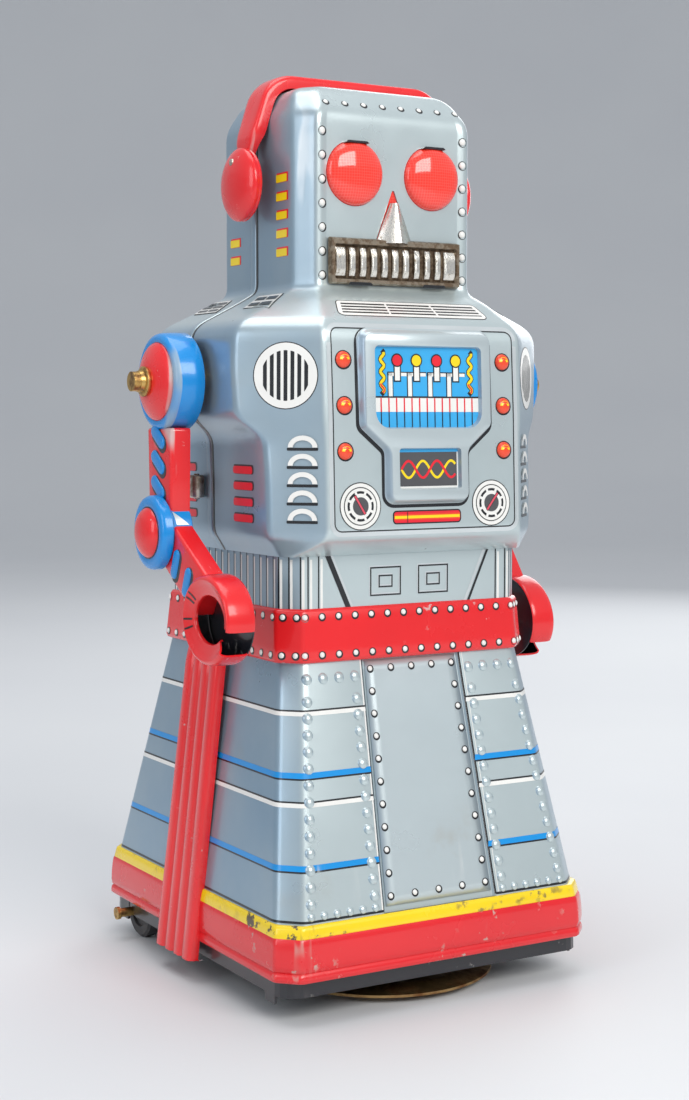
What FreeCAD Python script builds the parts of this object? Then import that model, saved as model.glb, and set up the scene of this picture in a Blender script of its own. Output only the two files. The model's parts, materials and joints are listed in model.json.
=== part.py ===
import FreeCAD, Part
import math
import os

# Tin wind-up robot. Millimetres, +Z up, the robot faces -Y and its right arm is at -X.
# Origin on the floor under the middle of the base.

V = FreeCAD.Vector
X = V(1, 0, 0)
Y = V(0, 1, 0)
Z = V(0, 0, 1)

# ---- driving dimensions -------------------------------------------------------------------
TIN = 0.8                 # wall of every pressing
SEAM_Y = -5.0             # plane where the front and rear body shells meet
SKIRT_SEAM_Y = 2.5        # plane where the two skirt pressings meet, under the side strips

HEAD_W, HEAD_FRONT, HEAD_REAR = 32.0, -34.5, 24.5
HEAD_FLAT, HEAD_BEVEL = 26.0, 7.5
NECK_Z, BROW_Z, CROWN_Z, HEAD_TOP = 215.0, 267.4, 274.7, 277.0
CHEST_W, CHEST_LOW_W, CHEST_FLAT = 55.0, 47.5, 34.2
CHEST_Z0, CHEST_Z1, SHOULDER_Z = 134.8, 141.0, 202.5

EYE_X, EYE_Z, EYE_R = 13.8, 249.9, 9.75
MOUTH_W, MOUTH_Z0, MOUTH_Z1, MOUTH_Y = 23.4, 216.3, 230.4, -36.4
NOSE_W, NOSE_TOP = 5.9, 241.5

WAIST_X, WAIST_FRONT, WAIST_REAR = 43.1, -44.1, 40.0
SKIRT_Z0, SKIRT_Z1 = 29.2, 104.0
SKIRT_BOTTOM = (53.9, -62.8, 62.8)      # half width, front y, rear y
SKIRT_TOP = (43.1, -44.8, 41.6)
BELT_Z0, BELT_Z1 = 103.2, 119.4
RIM_Z0, RIM_Z1 = 13.3, 28.9
PAN_Z0, PAN_FLOOR, PAN_Z1 = 8.0, 11.0, 27.0
HATCH_TOP, HATCH_BOTTOM = 16.4, 18.9    # half widths of the hatch opening

SHOULDER_Y, SHOULDER_AXIS_Z = -5.0, 187.0
SHAFT_R = 3.0
FIT = 0.05                # radial running clearance
ELBOW = (-5.0, 141.0)     # y, z of the right elbow at rest
CLAW = (-42.0, 118.0)     # y, z of the right claw at rest
ARM_X0, ARM_X1 = 59.0, 66.0
ARM_W, FOREARM_W = 17.0, 14.0
CLAW_R, CLAW_BORE, CLAW_X0, CLAW_X1 = 14.5, 8.0, 57.5, 68.5
ARMS_APART = 22.0         # degrees between the two arms at rest
HALF_SWING = 15.0         # degrees each side of the middle of the swing
HORN = 15.0               # lever length from the shoulder axis to the lift rod's pins

TURN_Y = -26.0            # turntable axis
DISC_R = 36.0
DRIVE_R, REAR_R = 9.0, 9.0
REAR_Y = 47.0
MODULE = 0.8
PLATE_X = 18.0            # inner face of each motor plate
ARBOR_R = 1.5
ARBOR_A = (27.0, 56.0)    # y, z of the winding arbor

# ---- general helpers ----------------------------------------------------------------------


def box(x0, x1, y0, y1, z0, z1):
    return Part.makeBox(x1 - x0, y1 - y0, z1 - z0, V(x0, y0, z0))


def rod(radius, start, direction, length):
    return Part.makeCylinder(radius, length, V(*start), direction)


def xrod(radius, y, z, x0, x1):
    return rod(radius, (x0, y, z), X, x1 - x0)


def wire(points):
    corners = [V(*p) for p in points]
    return Part.makePolygon(corners + [corners[0]])


def loft(sections):
    return Part.makeLoft([wire(points) for points in sections], True, True)


def prism(points, vector):
    return Part.Face(wire(points)).extrude(vector)


def yz_prism(points, x0, x1):
    return prism([(x0, y, z) for y, z in points], X * (x1 - x0))


def xz_prism(points, y0, y1):
    return prism([(x, y0, z) for x, z in points], Y * (y1 - y0))


def spun(profile, y, z):
    """Turn a profile of (x, radius) points round the X line through y, z."""
    face = Part.Face(wire([(x, y + r, z) for x, r in profile]))
    return face.revolve(V(0, y, z), X, 360)


def spun_z(profile, x, y):
    face = Part.Face(wire([(x + r, y, z) for r, z in profile]))
    return face.revolve(V(x, y, 0), Z, 360)


def mirror(shape):
    return shape.mirror(V(0, 0, 0), X)


def save(name, shape):
    shape.exportStep("parts/" + name + ".step")


def rounded(z, half, y0, y1, radius=6.0, steps=4):
    """Rectangle with rounded corners as a list of points, anticlockwise."""
    centres = [(half - radius, y1 - radius), (radius - half, y1 - radius),
               (radius - half, y0 + radius), (half - radius, y0 + radius)]
    points = []
    for quarter, (cx, cy) in enumerate(centres):
        for step in range(steps + 1):
            angle = math.radians(90.0 * (quarter + step / steps))
            points.append((cx + radius * math.cos(angle), cy + radius * math.sin(angle), z))
    return points


def sleeve(levels, wall, radius=6.0):
    """Open band through levels of (z, half width, front y, rear y)."""
    outer = loft([rounded(z, h, a, b, radius) for z, h, a, b in levels])
    inner = [(z, h - wall, a + wall, b - wall) for z, h, a, b in levels]
    inner[0] = (inner[0][0] - 0.01,) + inner[0][1:]
    inner[-1] = (inner[-1][0] + 0.01,) + inner[-1][1:]
    return outer.cut(loft([rounded(z, h, a, b, radius - wall) for z, h, a, b in inner]))


def capsule(a, b, width, x0, x1):
    """Bar with round ends between two points of the YZ plane."""
    length = math.hypot(b[0] - a[0], b[1] - a[1])
    along = V(0, (b[0] - a[0]) / length, (b[1] - a[1]) / length)
    side = V(0, -along.z, along.y) * (width / 2)
    p, q = V(x0, a[0], a[1]), V(x0, b[0], b[1])
    face = Part.Face(Part.makePolygon([p + side, q + side, q - side, p - side, p + side]))
    bar = face.extrude(X * (x1 - x0))
    ends = [xrod(width / 2, y, z, x0, x1) for y, z in (a, b)]
    return bar.fuse(ends).removeSplitter()


# ---- head and chest shells ----------------------------------------------------------------


def body_section(z, flat, front, half, bevel_front, bevel_rear, rear):
    return [(flat, front, z), (half, bevel_front, z), (half, bevel_rear, z), (flat, rear, z),
            (-flat, rear, z), (-half, bevel_rear, z), (-half, bevel_front, z), (-flat, front, z)]


def body_levels(inset):
    """Levels of the shell; a positive inset gives the hollow inside it."""
    head = (HEAD_FLAT, HEAD_FRONT, HEAD_W, HEAD_FRONT + HEAD_BEVEL, HEAD_REAR - HEAD_BEVEL, HEAD_REAR)
    rows = [
        (CHEST_Z0, 40.5, -44.9, 43.9, -41.2, 37.9, 40.8, -0.1),
        (CHEST_Z1, CHEST_FLAT, -54.2, CHEST_LOW_W, -41.0, 28.0, 43.5, 0.6),
        (168.0, CHEST_FLAT, -53.2, CHEST_LOW_W, -40.4, 28.0, 43.5, 0.3),
        (176.0, CHEST_FLAT, -53.0, CHEST_W, -33.0, 24.0, 43.5, 0.3),
        (SHOULDER_Z, CHEST_FLAT, -51.3, CHEST_W, -33.0, 24.0, 42.5, -0.6),
        (NECK_Z,) + head + (-0.6,),
        (BROW_Z,) + head + (-0.4,),
        (CROWN_Z, 23.5, -28.0, 28.0, -22.5, 12.5, 18.0, -0.6),
        (HEAD_TOP, 21.5, -26.0, 26.0, -20.5, 10.5, 16.0, -0.8),
    ]
    levels = []
    for z, flat, front, half, bevel_front, bevel_rear, rear, lift in rows:
        levels.append(body_section(z + lift * (inset > 0), flat - inset * 0.5, front + inset,
                                   half - inset, bevel_front + inset * 0.5,
                                   bevel_rear - inset * 0.5, rear - inset))
    return levels


def housing(inset, y0, y1):
    """Raised T-shaped instrument housing on the chest."""
    points = [(-23, 202), (-23, 173), (-15, 167), (-15, 150.4), (15, 150.4), (15, 167), (23, 173),
              (23, 202)]
    shrunk = []
    for px, pz in points:
        low = pz < 160
        shrunk.append((px - math.copysign(inset, px), pz + inset * (1 if low else -1)))
    return xz_prism(shrunk, y0, y1)


def eye(side, radius, y0, y1):
    hole = rod(radius, (side * EYE_X, y0, EYE_Z), Y, y1 - y0)
    flat_top = EYE_Z + radius * 0.86
    return hole.common(box(-60, 60, y0 - 1, y1 + 1, EYE_Z - 20, flat_top))


def body_shells():
    outer = loft(body_levels(0)).fuse(housing(0, -55.6, -50.5))
    hollow = loft(body_levels(TIN)).fuse(housing(TIN, -55.6 + TIN, -50.0))
    lip_core = loft(body_levels(TIN + 2.4))
    shell = outer.cut(hollow)
    for side in (-1, 1):
        shell = shell.cut(eye(side, EYE_R, HEAD_FRONT - 2, HEAD_FRONT + 3))
    nose = xz_prism([(-NOSE_W, 230.0), (NOSE_W, 230.0), (0, 246.0)], HEAD_FRONT - 2, HEAD_FRONT + 3)
    shell = shell.cut(nose)
    shell = shell.cut(xrod(5.0, SHOULDER_Y, SHOULDER_AXIS_Z, -60, 60))
    shell = shell.cut(xrod(1.6, -7.0, 247.7, -40, 40))
    front_half = box(-70, 70, -70, SEAM_Y, 130, 290)
    rear_half = box(-70, 70, SEAM_Y, 70, 130, 290)
    lip = hollow.cut(lip_core).cut(box(-70, 70, -70, 70, 130, 143))
    lip = lip.cut(xrod(7.0, SHOULDER_Y, SHOULDER_AXIS_Z, -60, 60))
    lip = lip.cut(xrod(4.0, -7.0, 247.7, -40, 40))
    front_lip = lip.common(box(-70, 70, SEAM_Y - TIN, SEAM_Y, 130, 290))
    rear_lip = lip.common(box(-70, 70, SEAM_Y, SEAM_Y + TIN, 130, 290))
    save("front_body_shell", shell.common(front_half).fuse(front_lip))
    save("rear_body_shell", shell.common(rear_half).fuse(rear_lip))


def face_lens():
    """Red sheet behind the face with a dome in each eye hole."""
    back = HEAD_FRONT + TIN
    sheet = box(-24.6, 24.6, back, back + TIN, 231.5, 261.5)
    for side in (-1, 1):
        profile = [(0, back + 0.1)]
        for step in range(7):
            angle = math.radians(15.0 * step)
            profile.append((9.1 * math.cos(angle), back - 0.6 - 2.4 * math.sin(angle)))
        profile[-1] = (0, profile[-1][1])
        corners = [(side * EYE_X + r, y, EYE_Z) for r, y in [(9.1, back + 0.1)] + profile[1:]]
        corners.append((side * EYE_X, back + 0.1, EYE_Z))
        dome = Part.Face(wire(corners)).revolve(V(side * EYE_X, 0, EYE_Z), Y, 360)
        sheet = sheet.fuse(dome.common(box(-60, 60, -60, 0, 200, EYE_Z + EYE_R * 0.86 - 0.3)))
    save("face_lens", sheet.removeSplitter())


def mouth_plate():
    """Bare metal grille with the nose folded up from the same sheet."""
    z0, z1, w = MOUTH_Z0, MOUTH_Z1, MOUTH_W
    front = MOUTH_Y
    plate = box(-w, w, HEAD_FRONT - 0.9, HEAD_FRONT, z0, z1)
    plate = plate.fuse(box(-w, w, front, HEAD_FRONT, z1 - 2.0, z1))
    plate = plate.fuse(box(-w, w, front, HEAD_FRONT, z0, z0 + 1.6))
    ribs = 11
    pitch = (2 * w - 3.0) / (ribs - 1)
    for index in range(ribs):
        centre = -w + 1.5 + index * pitch
        half = 1.5 if index in (0, ribs - 1) else 1.0
        plate = plate.fuse(box(centre - half, centre + half, front, HEAD_FRONT, z0, z1))
    ridge = 4.2
    base = [(-NOSE_W, HEAD_FRONT, z1), (0, HEAD_FRONT - ridge, z1), (NOSE_W, HEAD_FRONT, z1)]
    top = [(-0.6, HEAD_FRONT, NOSE_TOP), (0, HEAD_FRONT - 1.4, NOSE_TOP), (0.6, HEAD_FRONT, NOSE_TOP)]
    save("mouth_plate", plate.fuse(loft([base, top])).removeSplitter())


def strap_section(outside, z_low, x_low, x_bend, z_bend, x_top, z_top):
    return [(x_low + outside, z_low), (x_bend + outside, z_bend), (x_top + outside * 0.5, z_top + outside),
            (-x_top - outside * 0.5, z_top + outside), (-x_bend - outside, z_bend),
            (-x_low - outside, z_low)]


def headband():
    """Strap over the head with its long edges folded down, ending behind the ear caps."""
    path = (240.5, 35.4, 35.5, 259.0, 30.5, 280.0)
    out = strap_section(1.9, *path)
    under = strap_section(1.1, *path)
    deep = strap_section(0.0, *path)
    y0, y1 = -13.0, -1.0
    band = xz_prism(out, y0, y1)
    band = band.cut(xz_prism([(x, z - 0.01 * (z < 241)) for x, z in deep], y0 - 1, y1 + 1))
    band = band.cut(xz_prism([(x, z - 0.01 * (z < 241)) for x, z in under], y0 + TIN, y1 - TIN))
    band = band.cut(xrod(1.6, -7.0, 247.7, -45, 45))
    save("headband", band)


def ear_cap(side):
    """Domed red disc with the stem that rivets it to the side of the head."""
    profile = [(37.6, 0), (37.6, 11.2), (39.2, 11.2)]
    for step in range(1, 6):
        angle = math.radians(18.0 * step)
        profile.append((39.2 + 3.6 * math.sin(angle), 11.2 * math.cos(angle)))
    profile[-1] = (42.8, 0)
    cap = spun(profile, -7.0, 247.7)
    cap = cap.cut(xrod(9.6, -7.0, 247.7, 37.5, 38.9)).fuse(xrod(1.55, -7.0, 247.7, 30.2, 40.0))
    cap = cap.fuse(xrod(2.6, -7.0, 247.7, 29.4, 30.8))
    save("ear_cap_left" if side > 0 else "ear_cap_right", cap if side > 0 else mirror(cap))


def seam_clip():
    """Spring clip with a knuckle that holds the two body shells together."""
    x = -CHEST_LOW_W
    leaf = box(x - 0.8, x, 0.0, 9.5, 150.5, 158.5)
    knuckle = rod(1.8, (x - 2.4, 6.7, 150.5), Z, 8.0)
    save("seam_clip", leaf.fuse(knuckle).removeSplitter())


# ---- waist, belt, skirt and base ----------------------------------------------------------


def waist_band():
    save("waist_band", sleeve([(SKIRT_Z1, WAIST_X, WAIST_FRONT, WAIST_REAR),
                               (CHEST_Z0 + 1.2, WAIST_X, WAIST_FRONT, WAIST_REAR)], TIN))


def belt():
    levels = [(BELT_Z0, 44.9, -46.6, 43.4), (BELT_Z0 + 3, 44.9, -46.6, 43.4),
              (BELT_Z1, 44.0, -45.0, 40.9)]
    save("belt", sleeve(levels, TIN, 6.5))


def skirt_front(z):
    share = (z - SKIRT_Z0) / (SKIRT_Z1 - SKIRT_Z0)
    return SKIRT_BOTTOM[1] + share * (SKIRT_TOP[1] - SKIRT_BOTTOM[1])


def leaning_plate(z0, half0, z1, half1, shift, thick):
    """Flat plate parallel to the sloping front of the skirt."""
    sections = []
    for z, half in ((z0, half0), (z1, half1)):
        y = skirt_front(z) + shift
        sections.append([(-half, y, z), (half, y, z), (half, y + thick, z), (-half, y + thick, z)])
    return loft(sections)


def skirts():
    shell = sleeve([(SKIRT_Z0,) + SKIRT_BOTTOM, (SKIRT_Z1,) + SKIRT_TOP], TIN)
    opening = leaning_plate(31.0, HATCH_BOTTOM, 102.6, HATCH_TOP, -2.0, 4.0)
    front = shell.common(box(-70, 70, -80, SKIRT_SEAM_Y, 0, 120)).cut(opening)
    save("front_skirt", front)
    rear = shell.common(box(-70, 70, SKIRT_SEAM_Y, 80, 0, 120))
    save("rear_skirt", rear.cut(xrod(4.4, *ARBOR_A, 30, 70)))
    save("hatch_panel", leaning_plate(30.2, HATCH_BOTTOM + 2.5, 103.2, HATCH_TOP + 2.5, TIN + 0.03, TIN))


RIM_LEVELS = [(RIM_Z0, 55.9, -65.5, 65.5), (RIM_Z0 + 10.5, 55.5, -64.7, 64.7),
              (RIM_Z1, 54.0 + TIN, -62.9 - TIN, 62.9 + TIN)]


def base_rim():
    band = sleeve(RIM_LEVELS, TIN, 6.8)
    save("base_rim", band)


PAN_LOW = (53.6, -61.9, 61.9)     # half width, front y, rear y of the pan's wall
PAN_HIGH = (53.2, -61.6, 61.6)
TURN_HOLE_R = 24.0                # opening in the pan's floor over the turntable
REAR_WHEEL_X = 48.5               # middle of each rear wheel
WHEEL_SLOT = (8.2, 22.0)          # opening over each rear wheel, across and along
AXLE_BAY = (REAR_Y - 6.5, REAR_Y + 6.5)   # opening over the rear axle, front and rear edge
BRACKET_X = 38.0                  # rear axle bearings, either side of the middle


def base_pan():
    """Black tray: a floor with a wall that goes up inside the rim."""
    wall = sleeve([(PAN_Z0,) + PAN_LOW, (PAN_Z1,) + PAN_HIGH], TIN)
    floor = Part.Face(wire(rounded(PAN_FLOOR, PAN_HIGH[0], PAN_HIGH[1] + 0.1, PAN_HIGH[2] - 0.1)))
    floor = floor.extrude(Z * TIN)
    pan = wall.fuse(floor)
    pan = pan.cut(rod(TURN_HOLE_R, (0, TURN_Y, 0), Z, 20))
    for side in (-1, 1):
        x0, x1 = side * REAR_WHEEL_X - WHEEL_SLOT[0] / 2, side * REAR_WHEEL_X + WHEEL_SLOT[0] / 2
        y0, y1 = REAR_Y - WHEEL_SLOT[1] / 2, REAR_Y + WHEEL_SLOT[1] / 2
        pan = pan.cut(box(x0, x1, y0, y1, PAN_Z0 - 3, PAN_FLOOR + 3))
    pan = pan.cut(box(-REAR_WHEEL_X, REAR_WHEEL_X, *AXLE_BAY, PAN_Z0 - 3, PAN_FLOOR + 3))
    pan = pan.cut(box(-60, 60, REAR_Y - 2.2, REAR_Y + 2.2, PAN_Z0 - 3, PAN_FLOOR + 1))
    low_half, low_front, low_rear = PAN_LOW
    for side in (-1, 1):
        x0, x1 = sorted((side * low_half, side * (low_half - TIN)))
        for y0 in (low_front + 6.0, low_rear - 12.0):
            pan = pan.fuse(box(x0, x1, y0, y0 + 6.0, PAN_Z0 - 2.4, PAN_Z0 + 0.5))
    save("base_pan", pan.removeSplitter())


STRIP_TOP = (48.8, 98.0)      # outer x, z
STRIP_BOTTOM = (59.6, 7.0)
STRIP_Y0, STRIP_Y1 = -10.0, 15.0


def side_strip(side):
    """Corrugated channel that covers the skirt seam."""
    (x1, z1), (x0, z0) = STRIP_TOP, STRIP_BOTTOM
    lean = V(x1 - x0, 0, z1 - z0)
    pitch = (STRIP_Y1 - STRIP_Y0) / 4
    points = [(x0 - 5.2, STRIP_Y0), (x0 - TIN, STRIP_Y0)]
    for groove in range(1, 4):
        y = STRIP_Y0 + groove * pitch
        points += [(x0, y - pitch + 1.2), (x0, y - 1.0), (x0 - 1.2, y - 0.4), (x0 - 1.2, y + 0.4)]
    points += [(x0, STRIP_Y1 - pitch + 1.0), (x0, STRIP_Y1 - 1.2), (x0 - TIN, STRIP_Y1),
               (x0 - 5.2, STRIP_Y1), (x0 - 5.2, STRIP_Y1 - TIN), (x0 - 2.0, STRIP_Y1 - TIN),
               (x0 - 2.0, STRIP_Y0 + TIN), (x0 - 5.2, STRIP_Y0 + TIN)]
    shape = prism([(x, y, z0) for x, y in points], lean)
    skirt = loft([rounded(z, *size) for z, size in ((SKIRT_Z0, SKIRT_BOTTOM), (SKIRT_Z1, SKIRT_TOP))])
    rim = loft([rounded(z, h + 0.02, a, b, 6.8) for z, h, a, b in RIM_LEVELS])
    pan = loft([rounded(z, PAN_LOW[0] + 0.02, *PAN_LOW[1:]) for z in (PAN_Z0 - 3, PAN_Z1)])
    shape = shape.cut(skirt).cut(rim).cut(pan)
    solids = sorted(shape.Solids, key=lambda s: s.Volume)
    shape = solids[-1]
    save("side_strip_left" if side > 0 else "side_strip_right", shape if side > 0 else mirror(shape))


# ---- arms ---------------------------------------------------------------------------------


def swung(shape, degrees):
    turned = shape.copy()
    turned.rotate(V(0, SHOULDER_Y, SHOULDER_AXIS_Z), X, degrees)
    return turned


def arm_outline(width_cut, x0, x1, forearm=True):
    top = (SHOULDER_Y, 162.6)
    upper = capsule(top, ELBOW, ARM_W - width_cut, x0, x1)
    if not forearm:
        return upper
    length = math.hypot(CLAW[0] - ELBOW[0], CLAW[1] - ELBOW[1])
    share = (length - 12.0) / length
    wrist = (ELBOW[0] + share * (CLAW[0] - ELBOW[0]), ELBOW[1] + share * (CLAW[1] - ELBOW[1]))
    return upper.fuse(capsule(ELBOW, wrist, FOREARM_W - width_cut, x0, x1)).removeSplitter()


def arm_shells():
    """Outer and inner pressings of one arm, at +X."""
    middle = (ARM_X0 + ARM_X1) / 2
    claw_room = xrod(CLAW_R, CLAW[0], CLAW[1], 50, 80)
    outer = arm_outline(0, middle, ARM_X1).cut(arm_outline(2 * TIN, middle - 0.01, ARM_X1 - TIN))
    inner = arm_outline(0, ARM_X0, middle).cut(arm_outline(2 * TIN, ARM_X0 + TIN, middle + 0.01))
    tab = capsule((SHOULDER_Y, SHOULDER_AXIS_Z), (SHOULDER_Y, 160.0), 14.0, ARM_X0 - TIN, ARM_X0)
    inner = inner.fuse(tab).cut(xrod(SHAFT_R, SHOULDER_Y, SHOULDER_AXIS_Z, 50, 80))
    return outer.cut(claw_room), inner.cut(claw_room)


def shoulder_ring():
    x0, x1, r = ARM_X0, 66.6, 15.0
    profile = [(x0, r - TIN), (x0, r), (x1 - 3.4, r), (x1 - 1.0, r - 1.0), (x1, r - 2.6), (x1, SHAFT_R),
               (x1 - TIN, SHAFT_R), (x1 - TIN, r - 2.9), (x1 - 1.6, r - 1.7), (x1 - 3.6, r - TIN)]
    return spun(profile, SHOULDER_Y, SHOULDER_AXIS_Z)


def shoulder_cone():
    x0 = 66.6
    profile = [(x0, 12.0), (x0 + 3.6, 4.6), (x0 + 3.6, SHAFT_R), (x0 + 2.8, SHAFT_R),
               (x0 + 2.8, 4.2), (x0, 10.2)]
    return spun(profile, SHOULDER_Y, SHOULDER_AXIS_Z)


def elbow_ring():
    x0, r = ARM_X1, 11.5
    profile = [(x0, r - TIN), (x0, r), (x0 + 2.4, r), (x0 + 3.6, r - 1.2), (x0 + 4.0, r - 2.4),
               (x0 + 4.0, 0), (x0 + 3.2, 0), (x0 + 3.2, r - 2.6), (x0 + 2.2, r - TIN)]
    return spun(profile, *ELBOW)


def elbow_dome():
    x0, r, rise = ARM_X1 + 4.0, 7.6, 3.0
    profile = [(x0, 0)]
    for step in range(7):
        angle = math.radians(15.0 * step)
        profile.append((x0 + rise * math.sin(angle), r * math.cos(angle)))
    profile[-1] = (x0 + rise, 0)
    return spun(profile, *ELBOW)


def claw():
    """Cup whose wall is open between two jaws, with a tongue that goes into the forearm."""
    y, z = CLAW
    ring = xrod(CLAW_R, y, z, CLAW_X0, CLAW_X1).cut(xrod(CLAW_BORE, y, z, CLAW_X0, CLAW_X1))
    middle_r = (CLAW_R + CLAW_BORE) / 2
    hollow = xrod(CLAW_R - TIN, y, z, CLAW_X0 + TIN, CLAW_X1 - TIN)
    ring = ring.cut(hollow.cut(xrod(CLAW_BORE - 1, y, z, CLAW_X0, CLAW_X1)))
    ring = ring.fuse(xrod(CLAW_BORE + TIN, y, z, CLAW_X0, CLAW_X0 + TIN))    # the palm, facing the body
    aim = math.radians(180 + 28)
    half = math.radians(18)
    far = 3 * CLAW_R
    gap = [(y, z), (y + far * math.cos(aim - half), z + far * math.sin(aim - half)),
           (y + far * math.cos(aim), z + far * math.sin(aim)),
           (y + far * math.cos(aim + half), z + far * math.sin(aim + half))]
    ring = ring.cut(yz_prism(gap, CLAW_X0 + TIN, CLAW_X1 + 1))
    length = math.hypot(ELBOW[0] - y, ELBOW[1] - z)
    toward = ((ELBOW[0] - y) / length, (ELBOW[1] - z) / length)
    near = (y + toward[0] * middle_r * 1.25, z + toward[1] * middle_r * 1.25)
    deep = (y + toward[0] * 21.0, z + toward[1] * 21.0)
    tongue = capsule(near, deep, 7.0, 61.2, 63.8)
    return ring.fuse(tongue.cut(xrod(CLAW_R - 1.0, y, z, 50, 80))).removeSplitter()


def horn(side, lean):
    """Slotted lever on the inner end of a shoulder shaft."""
    x0, x1 = (2.6, 4.6) if side > 0 else (-4.6, -2.6)
    points_out = side
    tip = (SHOULDER_Y + points_out * (HORN + 4.5), SHOULDER_AXIS_Z)
    bar = capsule((SHOULDER_Y, SHOULDER_AXIS_Z), tip, 7.0, x0, x1)
    slot_a = (SHOULDER_Y + points_out * (HORN - 0.8), SHOULDER_AXIS_Z)
    slot_b = (SHOULDER_Y + points_out * (HORN + 1.4), SHOULDER_AXIS_Z)
    bar = bar.cut(capsule(slot_a, slot_b, 3.2, x0 - 1, x1 + 1))
    return swung(bar, lean)


def arm_shaft(side, lean):
    x0, x1 = (2.6, 75.0) if side > 0 else (-75.0, -2.6)
    return xrod(SHAFT_R, SHOULDER_Y, SHOULDER_AXIS_Z, x0, x1).fuse(horn(side, lean))


def hex_nut(x0, x1, y, z, flats, bore):
    radius = flats / math.sqrt(3)
    corners = [(y + radius * math.cos(math.radians(60 * i)), z + radius * math.sin(math.radians(60 * i)))
               for i in range(6)]
    return yz_prism(corners, x0, x1).cut(xrod(bore, y, z, x0 - 1, x1 + 1))


def arms():
    outer, inner = arm_shells()
    nut = hex_nut(70.2, 73.0, SHOULDER_Y, SHOULDER_AXIS_Z, 8.0, SHAFT_R)
    pieces = {"arm_outer": outer, "arm_inner": inner, "shoulder_ring": shoulder_ring(),
              "shoulder_cone": shoulder_cone(), "elbow_ring": elbow_ring(),
              "elbow_dome": elbow_dome(), "claw": claw(), "arm_nut": nut}
    for name, shape in pieces.items():
        save(name + "_right", mirror(shape))
        save(name + "_left", swung(shape, ARMS_APART))
    save("arm_shaft_right", arm_shaft(-1, -ARMS_APART / 2))
    save("arm_shaft_left", arm_shaft(1, ARMS_APART / 2))


def shoulder_bushes():
    profile = [(40.0, SHAFT_R + FIT), (40.0, 5.0), (CHEST_W, 5.0), (CHEST_W, 7.5), (CHEST_W + 1.6, 7.5),
               (CHEST_W + 1.6, SHAFT_R + FIT)]
    bush = spun(profile, SHOULDER_Y, SHOULDER_AXIS_Z)
    save("shoulder_bushes", Part.makeCompound([mirror(bush), bush]))


# ---- gears --------------------------------------------------------------------------------


def gear_radius(teeth, module=MODULE):
    return teeth * module / 2


def tooth_ring(teeth, module, phase):
    """Corners of a spur gear outline; a tooth is centred on the phase angle (radians)."""
    pitch_r = gear_radius(teeth, module)
    tip_r, root_r = pitch_r + 0.55 * module, pitch_r - 0.95 * module
    step = 2 * math.pi / teeth
    corners = []
    for index in range(teeth):
        centre = phase + index * step
        for radius, share in ((root_r, -0.27), (tip_r, -0.11), (tip_r, 0.11), (root_r, 0.27)):
            angle = centre + share * step
            corners.append((radius * math.cos(angle), radius * math.sin(angle)))
    return corners


def spur(teeth, centre, x0, x1, phase=0.0, module=MODULE, bore=0.0):
    corners = [(centre[0] + a, centre[1] + b) for a, b in tooth_ring(teeth, module, phase)]
    gear = yz_prism(corners, x0, x1)
    return gear.cut(xrod(bore, centre[0], centre[1], x0 - 1, x1 + 1)) if bore else gear


def upright_pinion(teeth, x, y, z0, z1, module, phase):
    corners = [(x + a, y + b, z0) for a, b in tooth_ring(teeth, module, phase)]
    return prism(corners, Z * (z1 - z0))


def crown_gear(teeth, centre, face_x, module, phase, bore):
    """Wheel on an X axis with teeth on its -X face."""
    y, z = centre
    pitch_r = gear_radius(teeth, module)
    web_x = face_x + 1.5 * module
    wheel = xrod(pitch_r + module, y, z, web_x, web_x + 1.2)
    half = 0.19 * math.pi * module
    for index in range(teeth):
        tooth = box(face_x, web_x + 0.2, -half, half, pitch_r - module, pitch_r + module)
        tooth.rotate(V(0, 0, 0), X, math.degrees(phase + index * 2 * math.pi / teeth))
        tooth.translate(V(0, y, z))
        wheel = wheel.fuse(tooth)
    return wheel.cut(xrod(bore, y, z, web_x - 1, web_x + 2)) if bore else wheel


def angle_between(a, b):
    return math.atan2(b[1] - a[1], b[0] - a[0])


def meshing_phase(teeth, own_centre, other_centre):
    """Phase that puts a gap of this gear where the other gear has a tooth."""
    return angle_between(own_centre, other_centre) + math.pi / teeth


# ---- clockwork ----------------------------------------------------------------------------

GREAT_T, PINION_T, SECOND_T, THIRD_T, ESCAPE_PINION_T = 60, 12, 60, 40, 8
CRANK_T, CRANK_PINION_T = 40, 12
CROWN_T, CROWN_PINION_T, CROWN_MODULE = 24, 8, 1.0
LOW_CROWN_T, LOW_PINION_T = 18, 8
CRANK_X = (6.8, 8.4)      # faces of the crank wheel
LINK_HALF = 1.0           # half thickness of the lift rod
CRANK_R = HORN * math.tan(math.radians(HALF_SWING))
LIFT_REST = HORN * math.tan(math.radians(ARMS_APART / 2))

STAGE_1 = gear_radius(GREAT_T) + gear_radius(PINION_T)
STAGE_2 = gear_radius(SECOND_T) + gear_radius(PINION_T)
STAGE_3 = gear_radius(THIRD_T) + gear_radius(ESCAPE_PINION_T)
CRANK_STAGE = gear_radius(CRANK_T) + gear_radius(CRANK_PINION_T)
HALF_SPAN = (ARBOR_A[0] - TURN_Y) / 2
ARBOR_B = (ARBOR_A[0] - HALF_SPAN, ARBOR_A[1] - math.sqrt(STAGE_1 ** 2 - HALF_SPAN ** 2))
ARBOR_C = (TURN_Y, ARBOR_B[1] + math.sqrt(STAGE_2 ** 2 - HALF_SPAN ** 2))
ARBOR_D = (TURN_Y, ARBOR_C[1] + STAGE_3)
CRANK_AXIS = (ARBOR_B[0], ARBOR_B[1] + CRANK_STAGE)
SPRING_PILLAR = (43.5, 77.0)
PILLAR_R = 1.8
PALLET = (TURN_Y, ARBOR_D[1] + 12.6)
PINION_Z = ARBOR_C[1] - gear_radius(CROWN_T, CROWN_MODULE)
LOW_PINION_Z = DRIVE_R + gear_radius(LOW_CROWN_T)


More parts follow.
